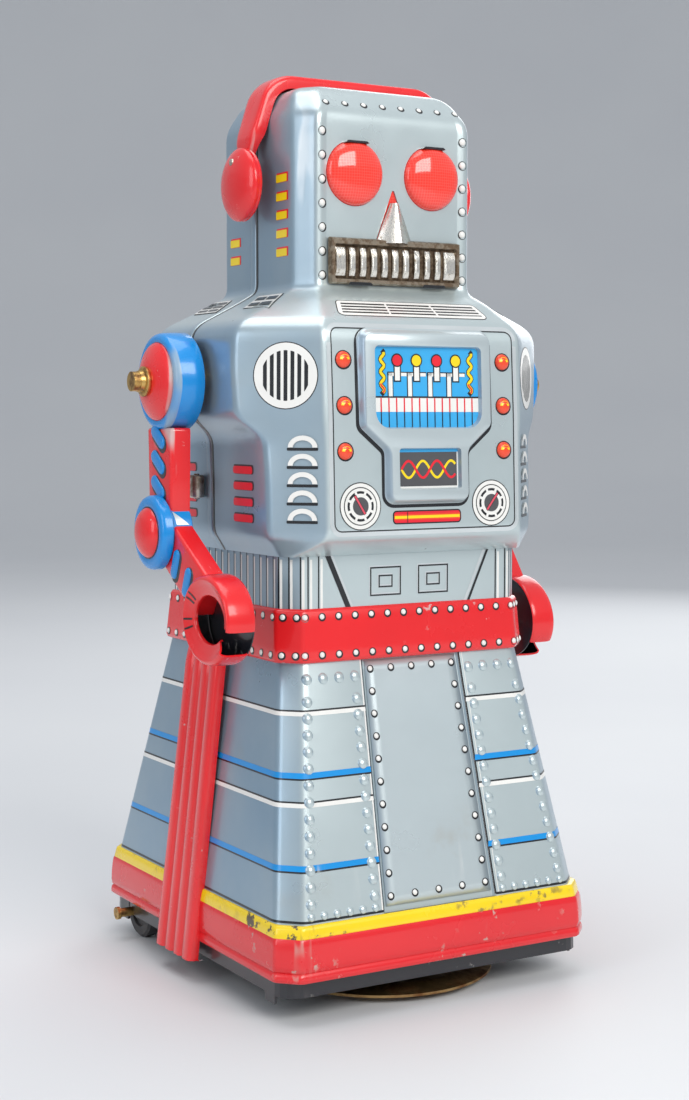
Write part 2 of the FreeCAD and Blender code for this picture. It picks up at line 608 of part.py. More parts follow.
def motor_plates():
    foot = PAN_FLOOR + TIN
    outline = [(-38, 26.5), (5, 26.5), (5, foot), (50, foot), (50, 62), (46, 80), (24, 100),
               (-34, 100), (-38, 96)]
    plate = yz_prism(outline, PLATE_X, PLATE_X + 1.0)
    plate = plate.fuse(box(PLATE_X, PLATE_X + 9, 8, 40, PAN_FLOOR + TIN, PAN_FLOOR + TIN + 1.0))
    window = yz_prism([(14, 20), (42, 20), (42, 28), (14, 28)], PLATE_X - 1, PLATE_X + 2)
    plate = plate.cut(window)
    shafts = [ARBOR_A, ARBOR_B, ARBOR_C, ARBOR_D, PALLET]
    right = mirror(plate)
    left = plate
    for index, (y, z) in enumerate(shafts):
        radius = (2.5 if index == 0 else ARBOR_R) + FIT
        left = left.cut(xrod(radius, y, z, 10, 30))
        right = right.cut(xrod(radius, y, z, -30, -10))
    left = left.fuse(crank_stud())
    save("motor_plate_left", left.removeSplitter())
    save("motor_plate_right", right.removeSplitter())
    spots = [(-35.2, 36.5), (44.5, 18.0), SPRING_PILLAR, (-30.0, 96.5), (23.0, 95.5)]
    pillars = [xrod(PILLAR_R, y, z, -PLATE_X, PLATE_X) for y, z in spots]
    save("motor_pillars", Part.makeCompound(pillars))


def crank_stud():
    y, z = CRANK_AXIS
    x0, x1 = CRANK_X
    stud = xrod(2.0, y, z, x0 - 0.6, PLATE_X + 1.5)
    return stud.fuse(xrod(3.4, y, z, x1 + 0.4, PLATE_X)).fuse(xrod(2.3, y, z, x0 - 1.2, x0 - 0.3))


def winding_arbor():
    """Arbor with its ratchet wheel and the squared end for the key."""
    y, z = ARBOR_A
    shape = xrod(2.5, y, z, -PLATE_X - 2.5, PLATE_X + 4.0)
    shape = shape.fuse(box(PLATE_X + 3.9, 66.0, y - 1.6, y + 1.6, z - 1.6, z + 1.6))
    corners = []
    teeth = 12
    for index in range(teeth):
        angle = 2 * math.pi * index / teeth
        corners.append((y + 7.2 * math.cos(angle), z + 7.2 * math.sin(angle)))
        slope = angle + 2 * math.pi / teeth * 0.92
        corners.append((y + 5.4 * math.cos(slope), z + 5.4 * math.sin(slope)))
    shape = shape.fuse(yz_prism(corners, -10.6, -9.2))
    shape = shape.fuse(xrod(4.0, y, z, -14.6, -13.8)).fuse(xrod(4.0, y, z, 9.2, 16.8))
    save("winding_arbor", shape.removeSplitter())


def winding_key():
    """Pressed butterfly key with a square socket."""
    y, z = ARBOR_A
    key = xrod(3.6, y, z, 56.5, 68.0).fuse([key_wing(y, z, side) for side in (-1, 1)])
    square = box(56, 66.0, y - 1.6, y + 1.6, z - 1.6, z + 1.6)
    save("winding_key", key.cut(square).removeSplitter())


def key_wing(y, z, side):
    """One looped wing, standing in the plane of the key's axis and Z."""
    points = [(60.5, 3.2), (62.5, 10.5), (65.5, 13.5), (70.5, 13.5), (74.0, 10.0), (74.0, 5.0), (70.0, 0.0),
              (62.0, 0.0)]
    hole = [(65.0, 5.2), (66.0, 10.0), (67.5, 11.0), (70.0, 11.0), (71.6, 9.2), (71.6, 6.0), (70.0, 4.4)]
    wing = xz_prism([(px, z + side * r) for px, r in points], y - 0.9, y + 0.9)
    return wing.cut(xz_prism([(px, z + side * r) for px, r in hole], y - 2, y + 2))


def mainspring():
    """Coiled strip from the arbor out to a pillar."""
    y, z = ARBOR_A
    turns, inner, thick = 6.5, 4.4, 0.5
    outer = math.hypot(SPRING_PILLAR[0] - y, SPRING_PILLAR[1] - z) - PILLAR_R - thick
    steps = 26
    total = int(turns * steps)
    side_a, side_b = [], []
    end_angle = angle_between(ARBOR_A, SPRING_PILLAR)
    for index in range(total + 1):
        share = index / total
        radius = inner + (outer - inner) * share
        angle = end_angle - 2 * math.pi * turns * (1 - share)
        side_a.append((y + radius * math.cos(angle), z + radius * math.sin(angle)))
        side_b.append((y + (radius + thick) * math.cos(angle), z + (radius + thick) * math.sin(angle)))
    save("mainspring", yz_prism(side_a + side_b[::-1], 9.6, 16.4))


def great_wheel():
    gear = spur(GREAT_T, ARBOR_A, -13.4, -11.9, angle_between(ARBOR_A, ARBOR_B), bore=2.5 + FIT)
    y, z = ARBOR_A
    for index in range(4):
        angle = math.radians(45 + 90 * index)
        gear = gear.cut(xrod(4.6, y + 15 * math.cos(angle), z + 15 * math.sin(angle), -14, -11))
    pivot = (y + 11.0, z + 0.0)
    gear = gear.fuse(xrod(1.2, pivot[0], pivot[1], -12.0, -8.4))
    save("great_wheel", gear)


def click():
    """Pawl on the great wheel, resting in the ratchet."""
    y, z = ARBOR_A
    pivot = (y + 11.0, z)
    ring = xrod(2.4, pivot[0], pivot[1], -11.4, -9.2)
    nose = yz_prism([(pivot[0] - 1.2, z + 1.4), (pivot[0] - 4.4, z + 5.9), (pivot[0] - 5.6, z + 5.3),
                     (pivot[0] - 1.8, z - 0.6)], -10.6, -9.2)
    tail = yz_prism([(pivot[0] + 0.8, z - 1.5), (pivot[0] + 2.2, z - 1.0), (pivot[0] + 3.2, z - 6.0),
                     (pivot[0] + 2.2, z - 6.0)], -10.6, -9.2)
    shape = ring.fuse(nose).fuse(tail).cut(xrod(1.2 + FIT, pivot[0], pivot[1], -20, 0))
    save("click", shape.removeSplitter())


def second_wheel():
    y, z = ARBOR_B
    shape = xrod(ARBOR_R, y, z, -PLATE_X - 2.0, PLATE_X + 2.0)
    shape = shape.fuse(spur(PINION_T, ARBOR_B, -14.0, -11.3, meshing_phase(PINION_T, ARBOR_B, ARBOR_A)))
    shape = shape.fuse(spur(SECOND_T, ARBOR_B, -8.0, -6.5, angle_between(ARBOR_B, ARBOR_C)))
    aim = angle_between(ARBOR_B, CRANK_AXIS)
    shape = shape.fuse(spur(CRANK_PINION_T, ARBOR_B, CRANK_X[0] - 0.4, CRANK_X[1] + 0.6, aim))
    save("second_wheel", shape)


def third_wheel():
    y, z = ARBOR_C
    shape = xrod(ARBOR_R, y, z, -PLATE_X - 2.0, PLATE_X + 2.0)
    shape = shape.fuse(spur(PINION_T, ARBOR_C, -8.6, -5.9, meshing_phase(PINION_T, ARBOR_C, ARBOR_B)))
    shape = shape.fuse(spur(THIRD_T, ARBOR_C, -13.4, -11.9, angle_between(ARBOR_C, ARBOR_D)))
    face_x = gear_radius(CROWN_PINION_T, CROWN_MODULE) - 0.55
    crown = crown_gear(CROWN_T, ARBOR_C, face_x, CROWN_MODULE, math.pi, 0)
    save("third_wheel", shape.fuse(crown))


def escape_wheel():
    y, z = ARBOR_D
    shape = xrod(ARBOR_R, y, z, -PLATE_X - 2.0, PLATE_X + 2.0)
    phase = meshing_phase(ESCAPE_PINION_T, ARBOR_D, ARBOR_C)
    shape = shape.fuse(spur(ESCAPE_PINION_T, ARBOR_D, -14.0, -11.3, phase))
    points = []
    teeth = 12
    for index in range(teeth):
        angle = 2 * math.pi * index / teeth
        points.append((y + 8.4 * math.cos(angle), z + 8.4 * math.sin(angle)))
        points.append((y + 6.2 * math.cos(angle + 0.36), z + 6.2 * math.sin(angle + 0.36)))
    save("escape_wheel", shape.fuse(yz_prism(points, -2.6, -1.2)))


def pallet():
    """Rocking fork of the speed governor with its bob."""
    y, z = PALLET
    shape = xrod(ARBOR_R, y, z, -PLATE_X - 2.0, PLATE_X + 2.0)
    fork = yz_prism([(y - 9.6, z - 8.6), (y - 7.2, z + 1.4), (y + 7.2, z + 1.4), (y + 9.6, z - 8.6),
                     (y + 8.9, z - 8.6), (y + 5.6, z - 1.6), (y - 5.6, z - 1.6), (y - 8.9, z - 8.6)],
                    -2.6, -1.2)
    bob = capsule((y - 6.5, z + 3.2), (y + 6.5, z + 3.2), 4.0, -6.0, -1.2)
    save("pallet", shape.fuse(fork).fuse(bob).removeSplitter())


def crank_wheel():
    y, z = CRANK_AXIS
    phase = meshing_phase(CRANK_T, CRANK_AXIS, ARBOR_B)
    shape = spur(CRANK_T, CRANK_AXIS, *CRANK_X, phase, bore=2.0 + FIT)
    pin_y, pin_z = crank_pin()
    save("crank_wheel", shape.fuse(xrod(1.2, pin_y, pin_z, LINK_HALF + 0.3, CRANK_X[0] + 0.4)))


def crank_pin():
    """The pin stands level with the lift rod's slot and stops just short of its face."""
    height = LIFT_REST
    reach = math.sqrt(CRANK_R ** 2 - height ** 2)
    return CRANK_AXIS[0] - reach, CRANK_AXIS[1] + height


def lift_rod():
    """Strip from the crank up to the cross head whose pins work the two horns."""
    y = CRANK_AXIS[0]
    slot_z = CRANK_AXIS[1] + LIFT_REST
    pins_z = SHOULDER_AXIS_Z + LIFT_REST
    yoke = box(-1, 1, y - 8.5, y + 8.5, slot_z - 3.6, slot_z + 3.6)
    yoke = yoke.cut(capsule((y - 5.0, slot_z), (y + 5.0, slot_z), 2.6, -2, 2))
    strip = box(-1, 1, y - 3, y + 3, slot_z + 3.5, pins_z - 2.9)
    head = capsule((SHOULDER_Y - HORN, pins_z), (SHOULDER_Y + HORN, pins_z), 6.0, -1, 1)
    shape = yoke.fuse(strip).fuse(head)
    shape = shape.fuse(xrod(1.3, SHOULDER_Y - HORN, pins_z, -5.6, -0.9))
    shape = shape.fuse(xrod(1.3, SHOULDER_Y + HORN, pins_z, 0.9, 5.6))
    save("lift_rod", shape.removeSplitter())


def rod_guide():
    y = CRANK_AXIS[0]
    plate = box(-PLATE_X, PLATE_X, y - 8, y + 8, 92.0, 93.0)
    plate = plate.cut(box(-1.08, 1.08, y - 3.08, y + 3.08, 91, 94))
    for side in (-1, 1):
        x = side * (PLATE_X - 0.5)
        plate = plate.fuse(box(x - 0.5, x + 0.5, y - 8, y + 8, 88.0, 93.0))
    save("rod_guide", plate.removeSplitter())


# ---- turntable and wheels -----------------------------------------------------------------


def turntable_bridge():
    """Strip across the motor that carries the turntable."""
    plate = box(-PLATE_X, PLATE_X, TURN_Y - 6.5, TURN_Y + 6.5, 26.5, 27.7)
    plate = plate.cut(rod(4.0 + FIT, (0, TURN_Y, 0), Z, 60))
    for side in (-1, 1):
        x = side * (PLATE_X - 0.5)
        plate = plate.fuse(box(x - 0.5, x + 0.5, TURN_Y - 6.5, TURN_Y + 6.5, 26.5, 31.5))
    save("turntable_bridge", plate.removeSplitter())


def turntable_disc():
    """Dished tin disc with a slot for the drive wheel and a skid post."""
    profile = [(0, 3.4), (29, 3.4), (DISC_R, 2.0), (DISC_R, 2.8), (29, 4.2), (0, 4.2)]
    disc = spun_z(profile, 0, TURN_Y)
    disc = disc.cut(box(1.6, 14.6, TURN_Y - 10.5, TURN_Y + 10.5, 0, 6))
    skid = spun_z([(0, 0.2), (1.6, 0.2), (2.6, 1.2), (2.6, 3.5), (0, 3.5)], -24, TURN_Y)
    save("turntable_disc", disc.fuse(skid).removeSplitter())


def turntable_yoke():
    """Strap over the drive wheel with the tube that turns in the bridge."""
    top = 22.0
    strap = box(-9.0, 18.0, TURN_Y - 5, TURN_Y + 5, top - 1, top)
    for x in (-9.0, 17.0):
        strap = strap.fuse(box(x, x + 1.0, TURN_Y - 5, TURN_Y + 5, 4.2, top))
    for x0, x1 in ((-9.0, -4.5), (17.0, 21.5)):
        strap = strap.fuse(box(x0, x1, TURN_Y - 5, TURN_Y + 5, 4.2, 5.2))
    strap = strap.cut(xrod(ARBOR_R + FIT, TURN_Y, DRIVE_R, -20, 30))
    tube = spun_z([(ARBOR_R + FIT, top - 1), (6.0, top - 1), (6.0, 26.1), (4.0, 26.1), (4.0, 28.1),
                   (5.6, 28.1), (5.6, 29.6), (ARBOR_R + FIT, 29.6)], 0, TURN_Y)
    strap = strap.cut(rod(ARBOR_R + FIT, (0, TURN_Y, 10), Z, 30))
    save("turntable_yoke", strap.fuse(tube).removeSplitter())


def drive_shaft():
    """Upright shaft from the crown wheel down through the turntable tube."""
    shape = rod(ARBOR_R, (0, TURN_Y, LOW_PINION_Z - 1.4), Z, PINION_Z + 2.6 - LOW_PINION_Z)
    low = upright_pinion(LOW_PINION_T, 0, TURN_Y, LOW_PINION_Z - 1.1, LOW_PINION_Z + 1.1, MODULE,
                         math.pi / LOW_PINION_T)
    high = upright_pinion(CROWN_PINION_T, 0, TURN_Y, PINION_Z - 1.2, PINION_Z + 1.2, CROWN_MODULE,
                          math.pi / CROWN_PINION_T)
    collar = rod(3.0, (0, TURN_Y, 30.1), Z, 1.4)
    save("drive_shaft", shape.fuse([low, high, collar]).removeSplitter())


def drive_axle():
    shape = xrod(ARBOR_R, TURN_Y, DRIVE_R, -10.5, 19.5)
    face_x = gear_radius(LOW_PINION_T) + 0.55 * MODULE + 0.2
    crown = crown_gear(LOW_CROWN_T, (TURN_Y, DRIVE_R), face_x, MODULE, 0.0, 0)
    save("drive_axle", shape.fuse(crown).removeSplitter())


def drive_wheel():
    r = DRIVE_R
    profile = [(7.6, ARBOR_R), (7.6, r - 0.8), (8.4, r), (12.2, r), (13.0, r - 0.8), (13.0, ARBOR_R)]
    save("drive_wheel", spun(profile, TURN_Y, r))


def rear_wheels():
    r = REAR_R
    profile = [(46.0, ARBOR_R), (46.0, r - 0.8), (46.8, r), (50.2, r), (51.0, r - 0.8), (51.0, 5.6),
               (50.2, 5.2), (50.2, 3.0), (51.6, 2.8), (51.6, ARBOR_R)]
    wheel = spun(profile, REAR_Y, r)
    save("rear_wheels", Part.makeCompound([mirror(wheel), wheel]))
    axle = xrod(ARBOR_R, REAR_Y, r, -58.6, 58.6)
    for side in (-1, 1):
        axle = axle.fuse(xrod(2.1, REAR_Y, r, side * 58.6 - 0.6, side * 58.6 + 0.6))
    save("rear_axle", axle)
    brackets = []
    foot_z = PAN_FLOOR + TIN
    for side in (-1, 1):
        x = side * BRACKET_X
        ear = box(x - 0.6, x + 0.6, REAR_Y - 5, REAR_Y + 5, 6.0, foot_z + 0.4)
        inner = x - side * 8
        foot = box(min(x, inner), max(x, inner), AXLE_BAY[0] - 3, AXLE_BAY[1] + 3, foot_z, foot_z + TIN)
        bracket = ear.fuse(foot).cut(xrod(ARBOR_R + FIT, REAR_Y, r, -60, 60))
        brackets.append(bracket.removeSplitter())
    save("axle_brackets", Part.makeCompound(brackets))


# ---- build everything ---------------------------------------------------------------------


def build():
    body_shells()
    face_lens()
    mouth_plate()
    headband()
    for side in (-1, 1):
        ear_cap(side)
        side_strip(side)
    seam_clip()
    waist_band()
    belt()
    skirts()
    base_rim()
    base_pan()
    arms()
    shoulder_bushes()
    motor_plates()
    winding_arbor()
    winding_key()
    mainspring()
    great_wheel()
    click()
    second_wheel()
    third_wheel()
    escape_wheel()
    pallet()
    crank_wheel()
    lift_rod()
    rod_guide()
    turntable_bridge()
    turntable_disc()
    turntable_yoke()
    drive_shaft()
    drive_axle()
    drive_wheel()
    rear_wheels()


os.makedirs("parts", exist_ok=True)
build()
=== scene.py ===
import json
import math

import bmesh
import bpy
from mathutils import Matrix, Vector, geometry
from mathutils.bvhtree import BVHTree


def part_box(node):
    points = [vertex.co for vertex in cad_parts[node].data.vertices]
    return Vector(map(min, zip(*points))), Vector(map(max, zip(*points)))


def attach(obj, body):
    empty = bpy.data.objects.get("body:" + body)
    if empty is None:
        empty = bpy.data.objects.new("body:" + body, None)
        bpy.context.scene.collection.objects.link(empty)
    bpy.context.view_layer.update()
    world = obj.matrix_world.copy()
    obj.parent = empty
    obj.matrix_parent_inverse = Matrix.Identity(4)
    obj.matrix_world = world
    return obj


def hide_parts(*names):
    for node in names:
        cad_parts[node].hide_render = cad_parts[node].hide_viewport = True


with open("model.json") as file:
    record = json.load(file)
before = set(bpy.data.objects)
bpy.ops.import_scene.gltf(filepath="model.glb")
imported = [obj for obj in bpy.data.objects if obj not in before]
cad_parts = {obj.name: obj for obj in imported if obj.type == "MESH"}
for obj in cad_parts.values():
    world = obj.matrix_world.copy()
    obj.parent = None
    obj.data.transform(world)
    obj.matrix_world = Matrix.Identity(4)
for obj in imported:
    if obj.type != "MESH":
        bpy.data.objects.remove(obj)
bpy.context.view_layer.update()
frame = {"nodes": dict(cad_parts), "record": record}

MM = 0.001

# All shapes below are in millimetres in the frame's axes; robot faces -Y, right arm at -X.
INK = 0.07                       # how far printed ink stands off the tin
REACH = 24.0                     # how far off a surface the printing rays start
SEAM = -5.0                      # plane where the two body shells meet
SHOULDER = (-5.0, 187.0)
ELBOW = (-5.0, 141.0)
CLAW = (-40.8, 117.4)
LEFT_ARM_TURN = 22.0             # degrees from the right arm to the left arm at rest
EAR = (-7.0, 247.7)
ACROSS, ACROSS_BACK, UP = (1, 0, 0), (-1, 0, 0), (0, 0, 1)


def node_box(name):
    low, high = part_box(name)
    return low / MM, high / MM


# ---- materials ----------------------------------------------------------------------------


class Shade:
    """Small helper that builds one node material on a Principled shader."""

    def __init__(self, name):
        self.mat = bpy.data.materials.new(name)
        self.mat.use_nodes = True
        self.nodes = self.mat.node_tree.nodes
        self.links = self.mat.node_tree.links
        self.shader = self.nodes["Principled BSDF"]
        self.coord = self.nodes.new("ShaderNodeTexCoord").outputs["Object"]

    def put(self, value, socket):
        if hasattr(value, "is_output"):
            self.links.new(value, socket)
        else:
            socket.default_value = value

    def noise(self, scale, detail=3.0, rough=0.55, stretch=None):
        node = self.nodes.new("ShaderNodeTexNoise")
        node.inputs["Scale"].default_value = scale
        node.inputs["Detail"].default_value = detail
        node.inputs["Roughness"].default_value = rough
        if stretch:
            mapping = self.nodes.new("ShaderNodeMapping")
            mapping.inputs["Scale"].default_value = stretch
            self.links.new(self.coord, mapping.inputs["Vector"])
            self.links.new(mapping.outputs[0], node.inputs["Vector"])
        else:
            self.links.new(self.coord, node.inputs["Vector"])
        return node.outputs["Fac"]

    def ramp(self, value, low, high, soft=True):
        node = self.nodes.new("ShaderNodeMapRange")
        node.interpolation_type = "SMOOTHSTEP" if soft else "LINEAR"
        node.inputs["From Min"].default_value = low
        node.inputs["From Max"].default_value = high
        self.links.new(value, node.inputs["Value"])
        return node.outputs["Result"]

    def math(self, kind, a, b):
        node = self.nodes.new("ShaderNodeMath")
        node.operation = kind
        self.put(a, node.inputs[0])
        self.put(b, node.inputs[1])
        return node.outputs[0]

    def scaled(self, value, low, high):
        return self.math("ADD", self.math("MULTIPLY", value, high - low), low)

    def mix(self, factor, a, b):
        node = self.nodes.new("ShaderNodeMix")
        node.data_type = "RGBA"
        self.put(factor, node.inputs[0])
        self.put(a if hasattr(a, "is_output") else (*a, 1.0), node.inputs[6])
        self.put(b if hasattr(b, "is_output") else (*b, 1.0), node.inputs[7])
        return node.outputs[2]

    def scratches(self, scale=160.0, amount=0.5):
        """Fine broken lines, as a 0 to 1 mask."""
        lines = self.noise(scale, 2.0, 0.4, (1.0, 0.12, 0.10))
        patches = self.noise(scale * 0.15, 3.0)
        fine = self.ramp(lines, 0.66, 0.70)
        return self.math("MULTIPLY", fine, self.ramp(patches, 0.60 - 0.1 * amount, 0.68))

    def spots(self, scale, low, high):
        return self.ramp(self.noise(scale, 5.0, 0.65), low, high)

    def bump(self, height, strength, distance=0.0004):
        node = self.nodes.new("ShaderNodeBump")
        node.inputs["Strength"].default_value = strength
        node.inputs["Distance"].default_value = distance
        self.links.new(height, node.inputs["Height"])
        self.links.new(node.outputs[0], self.shader.inputs["Normal"])

    def finish(self, color, rough, metallic, coat=0.0, coat_rough=0.08):
        if not hasattr(color, "is_output"):
            color = (*color, 1.0)
        self.put(color, self.shader.inputs["Base Color"])
        self.put(rough, self.shader.inputs["Roughness"])
        self.put(metallic, self.shader.inputs["Metallic"])
        self.shader.inputs["Coat Weight"].default_value = coat
        self.shader.inputs["Coat Roughness"].default_value = coat_rough
        return self.mat


def side_shade_mask(shade):
    """0 on surfaces that face forward or back, 1 on those that face sideways: the mask of the
    painted side shade.
    """
    normal = shade.nodes.new("ShaderNodeTexCoord").outputs["Normal"]
    parts = shade.nodes.new("ShaderNodeSeparateXYZ")
    shade.links.new(normal, parts.inputs[0])
    return shade.math("ABSOLUTE", parts.outputs["X"], 0.0)


def litho_tin(name, front, side, metallic=0.5):
    """Silver-blue printed tin: lacquer gloss, cloudy tone, scratches and small rust marks."""
    s = Shade(name)
    # Sides darker and bluer than the front: painted shade and painted blue reflection, partly the
    # print's own airbrushed blue.
    tone = s.mix(s.ramp(side_shade_mask(s), 0.25, 0.95), front, side)
    cloud = s.ramp(s.noise(22.0, 4.0), 0.30, 0.72)
    tone = s.mix(s.math("MULTIPLY", cloud, 0.35), tone, tuple(c * 0.80 for c in front))
    stain = s.math("MULTIPLY", s.spots(30.0, 0.56, 0.72), s.spots(9.0, 0.50, 0.62))
    tone = s.mix(s.math("MULTIPLY", stain, 0.35), tone, (0.42, 0.34, 0.24))
    rust = s.math("MULTIPLY", s.spots(60.0, 0.68, 0.76), s.spots(12.0, 0.52, 0.66))
    tone = s.mix(s.math("MULTIPLY", rust, 0.75), tone, (0.26, 0.16, 0.09))
    worn = s.scratches(150.0, 0.6)
    tone = s.mix(s.math("MULTIPLY", worn, 0.55), tone, (0.86, 0.86, 0.84))
    rough = s.scaled(s.noise(45.0, 4.0), 0.20, 0.42)
    rough = s.math("ADD", rough, s.math("MULTIPLY", rust, 0.3))
    waves = s.math("ADD", s.noise(38.0, 2.0), s.math("MULTIPLY", worn, -0.25))
    s.bump(waves, 0.35, 0.0006)
    return s.finish(tone, rough, metallic, 0.35, 0.12)


def enamel(name, color, chip=(0.62, 0.60, 0.57), chips=0.66, metallic=0.0, rough=0.24):
    """Gloss printed enamel on tin with chips, scratches and dull patches."""
    s = Shade(name)
    cloud = s.ramp(s.noise(30.0, 3.0), 0.3, 0.75)
    tone = s.mix(s.math("MULTIPLY", cloud, 0.4), color, tuple(c * 0.80 for c in color))
    mask = s.math("MULTIPLY", s.spots(210.0, chips, chips + 0.05), s.spots(26.0, 0.50, 0.62))
    worn = s.math("MULTIPLY", s.scratches(190.0, 0.8), 0.8)
    mask = s.math("MAXIMUM", mask, worn)
    tone = s.mix(mask, tone, chip)
    r = s.math("ADD", s.scaled(s.noise(55.0, 4.0), rough - 0.08, rough + 0.12),
               s.math("MULTIPLY", mask, 0.2))
    height = s.math("ADD", s.noise(60.0, 2.0), s.math("MULTIPLY", mask, -0.6))
    s.bump(height, 0.25, 0.0004)
    return s.finish(tone, r, metallic, 0.5, 0.06)


def ink(name, color, metallic=0.0):
    """Flat printed ink with slight unevenness and fine wear."""
    s = Shade(name)
    cloud = s.ramp(s.noise(90.0, 3.0), 0.3, 0.75)
    tone = s.mix(s.math("MULTIPLY", cloud, 0.3), color, tuple(c * 0.82 for c in color))
    tone = s.mix(s.math("MULTIPLY", s.scratches(220.0, 0.5), 0.5), tone, (0.60, 0.62, 0.62))
    s.bump(s.noise(120.0, 2.0), 0.1, 0.0002)
    return s.finish(tone, s.scaled(s.noise(70.0), 0.24, 0.40), metallic, 0.4, 0.08)


def bare_metal(name, color, dark, scale=120.0, rough=0.32, tarnish=0.5):
    """Unpainted metal with mottled tarnish and a fine grain."""
    s = Shade(name)
    mottled = s.spots(scale, tarnish - 0.10, tarnish + 0.12)
    tone = s.mix(mottled, color, dark)
    grain = s.noise(scale * 4.0, 3.0, 0.6, (1.0, 1.0, 0.2))
    r = s.math("ADD", s.scaled(grain, rough - 0.10, rough + 0.14),
               s.math("MULTIPLY", mottled, 0.18))
    s.bump(s.math("ADD", grain, s.math("MULTIPLY", mottled, 0.4)), 0.2, 0.0002)
    return s.finish(tone, r, 1.0)


def rubber(name, color):
    s = Shade(name)
    dust = s.spots(80.0, 0.45, 0.75)
    tone = s.mix(s.math("MULTIPLY", dust, 0.4), color, (0.22, 0.20, 0.18))
    s.bump(s.noise(400.0, 3.0), 0.3, 0.0002)
    return s.finish(tone, s.scaled(dust, 0.55, 0.8), 0.0)


def lens_plastic(name):
    """Red film moulded into domes, with a faint woven grid inside."""
    s = Shade(name)
    grid = []
    parts = s.nodes.new("ShaderNodeSeparateXYZ")
    s.links.new(s.coord, parts.inputs[0])
    for axis in ("X", "Z"):
        wave = s.math("SINE", s.math("MULTIPLY", parts.outputs[axis], 2 * math.pi / 0.00085), 0.0)
        grid.append(s.ramp(wave, 0.80, 0.98))
    lines = s.math("MAXIMUM", grid[0], grid[1])
    tone = s.mix(s.math("MULTIPLY", lines, 0.35), (0.86, 0.035, 0.02), (0.95, 0.22, 0.17))
    s.bump(s.noise(50.0, 2.0), 0.1, 0.0004)
    mat = s.finish(tone, s.scaled(s.noise(60.0), 0.06, 0.16), 0.0, 0.8, 0.04)
    # Faint red emission: a painted glow, since the film gives no light of its own.
    s.shader.inputs["Emission Color"].default_value = (0.9, 0.05, 0.03, 1.0)
    s.shader.inputs["Emission Strength"].default_value = 0.10
    return mat


def floor_card(name):
    s = Shade(name)
    tone = s.mix(s.ramp(s.noise(3.0, 2.0), 0.3, 0.7), (0.70, 0.71, 0.725), (0.72, 0.73, 0.74))
    s.bump(s.noise(900.0, 2.0), 0.05, 0.0003)
    return s.finish(tone, s.scaled(s.noise(20.0), 0.6, 0.7), 0.0)


# Each tin's second colour is its sides' tone: painted shade and painted blue reflection, partly
# printed.
TIN_TONE = litho_tin("litho_silver_blue", (0.60, 0.69, 0.70), (0.25, 0.37, 0.48))
HATCH_TONE = litho_tin("litho_hatch_grey", (0.58, 0.66, 0.68), (0.30, 0.40, 0.50), 0.4)
RED = enamel("red_enamel", (0.86, 0.014, 0.018))
RIM_YELLOW = enamel("yellow_rim_enamel", (0.98, 0.70, 0.005), (0.10, 0.07, 0.04), 0.55)
RIM_RED = enamel("red_rim_enamel", (0.80, 0.012, 0.018), (0.55, 0.42, 0.36), 0.60)
BLUE = enamel("blue_enamel", (0.0, 0.27, 0.72), (0.35, 0.45, 0.5), 0.70)
BLACK = enamel("black_enamel", (0.012, 0.013, 0.018), (0.22, 0.21, 0.20), 0.62, 0.0, 0.32)
MOUTH_METAL = bare_metal("tarnished_nickel", (0.84, 0.81, 0.74), (0.40, 0.32, 0.23), 800.0, 0.26,
                         0.62)
# Dark metal for the faces low between the grille's ribs and for its top and bottom rows.
MOUTH_GAP = bare_metal("grille_gap_dark", (0.17, 0.13, 0.09), (0.09, 0.06, 0.04), 700.0, 0.45)
MOUTH_FRAME = bare_metal("grille_frame_tarnish", (0.36, 0.30, 0.23), (0.17, 0.12, 0.08), 500.0,
                         0.34)
CLIP_METAL = bare_metal("clip_nickel", (0.62, 0.58, 0.52), (0.28, 0.23, 0.18), 260.0)
GOLD = bare_metal("gold_lacquer_rust", (0.46, 0.30, 0.13), (0.20, 0.085, 0.035), 95.0, 0.38, 0.5)
BRASS = bare_metal("dull_brass", (0.62, 0.40, 0.13), (0.22, 0.12, 0.05), 300.0, 0.30, 0.56)
STEEL = bare_metal("plain_steel", (0.55, 0.55, 0.56), (0.30, 0.27, 0.24), 160.0, 0.34, 0.60)
SPRING = bare_metal("blued_spring", (0.10, 0.13, 0.24), (0.06, 0.06, 0.08), 160.0, 0.30)
RUBBER = rubber("wheel_rubber_dark", (0.035, 0.035, 0.04))
LENS = lens_plastic("eye_red_film")
INKS = {
    "white": ink("ink_white", (0.88, 0.87, 0.83)),
    "black": ink("ink_black", (0.010, 0.011, 0.014)),
    "grey": ink("ink_grey", (0.035, 0.037, 0.042)),
    "blue": ink("ink_blue", (0.0, 0.29, 0.74)),
    "sky": ink("ink_sky_blue", (0.04, 0.42, 0.82)),
    "screen": ink("ink_screen_grey", (0.085, 0.085, 0.09)),
    "red": ink("ink_red", (0.84, 0.012, 0.03)),
    "orange": ink("ink_orange", (0.90, 0.07, 0.02)),
    "yellow": ink("ink_yellow", (1.0, 0.72, 0.005)),
    "pink": ink("ink_pink", (0.75, 0.08, 0.12)),
    "shade": ink("ink_shade_blue", (0.14, 0.20, 0.27), 0.6),
    "light": ink("ink_light_silver", (0.70, 0.75, 0.76), 0.5),
    "bump": TIN_TONE,
}
INK_ORDER = list(INKS)

# ---- piece helpers ------------------------------------------------------------------------


def new_object(name, verts, faces, materials=(), face_slots=None):
    mesh = bpy.data.meshes.new(name)
    mesh.from_pydata([Vector(v) * MM for v in verts], [], faces)
    for material in materials:
        mesh.materials.append(material)
    if face_slots:
        mesh.polygons.foreach_set("material_index", face_slots)
    obj = bpy.data.objects.new(name, mesh)
    bpy.context.scene.collection.objects.link(obj)
    return obj


def make_piece(name, verts, faces, body, slot, materials, nodes=(), face_slots=None, angle=35.0):
    """One visual piece that rides on a body and may stand in for CAD nodes."""
    obj = new_object(name, verts, faces, materials, face_slots)
    clean_mesh(obj)
    shade_smooth(obj, angle)
    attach(obj, body)
    if nodes:
        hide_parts(*nodes)
    return obj


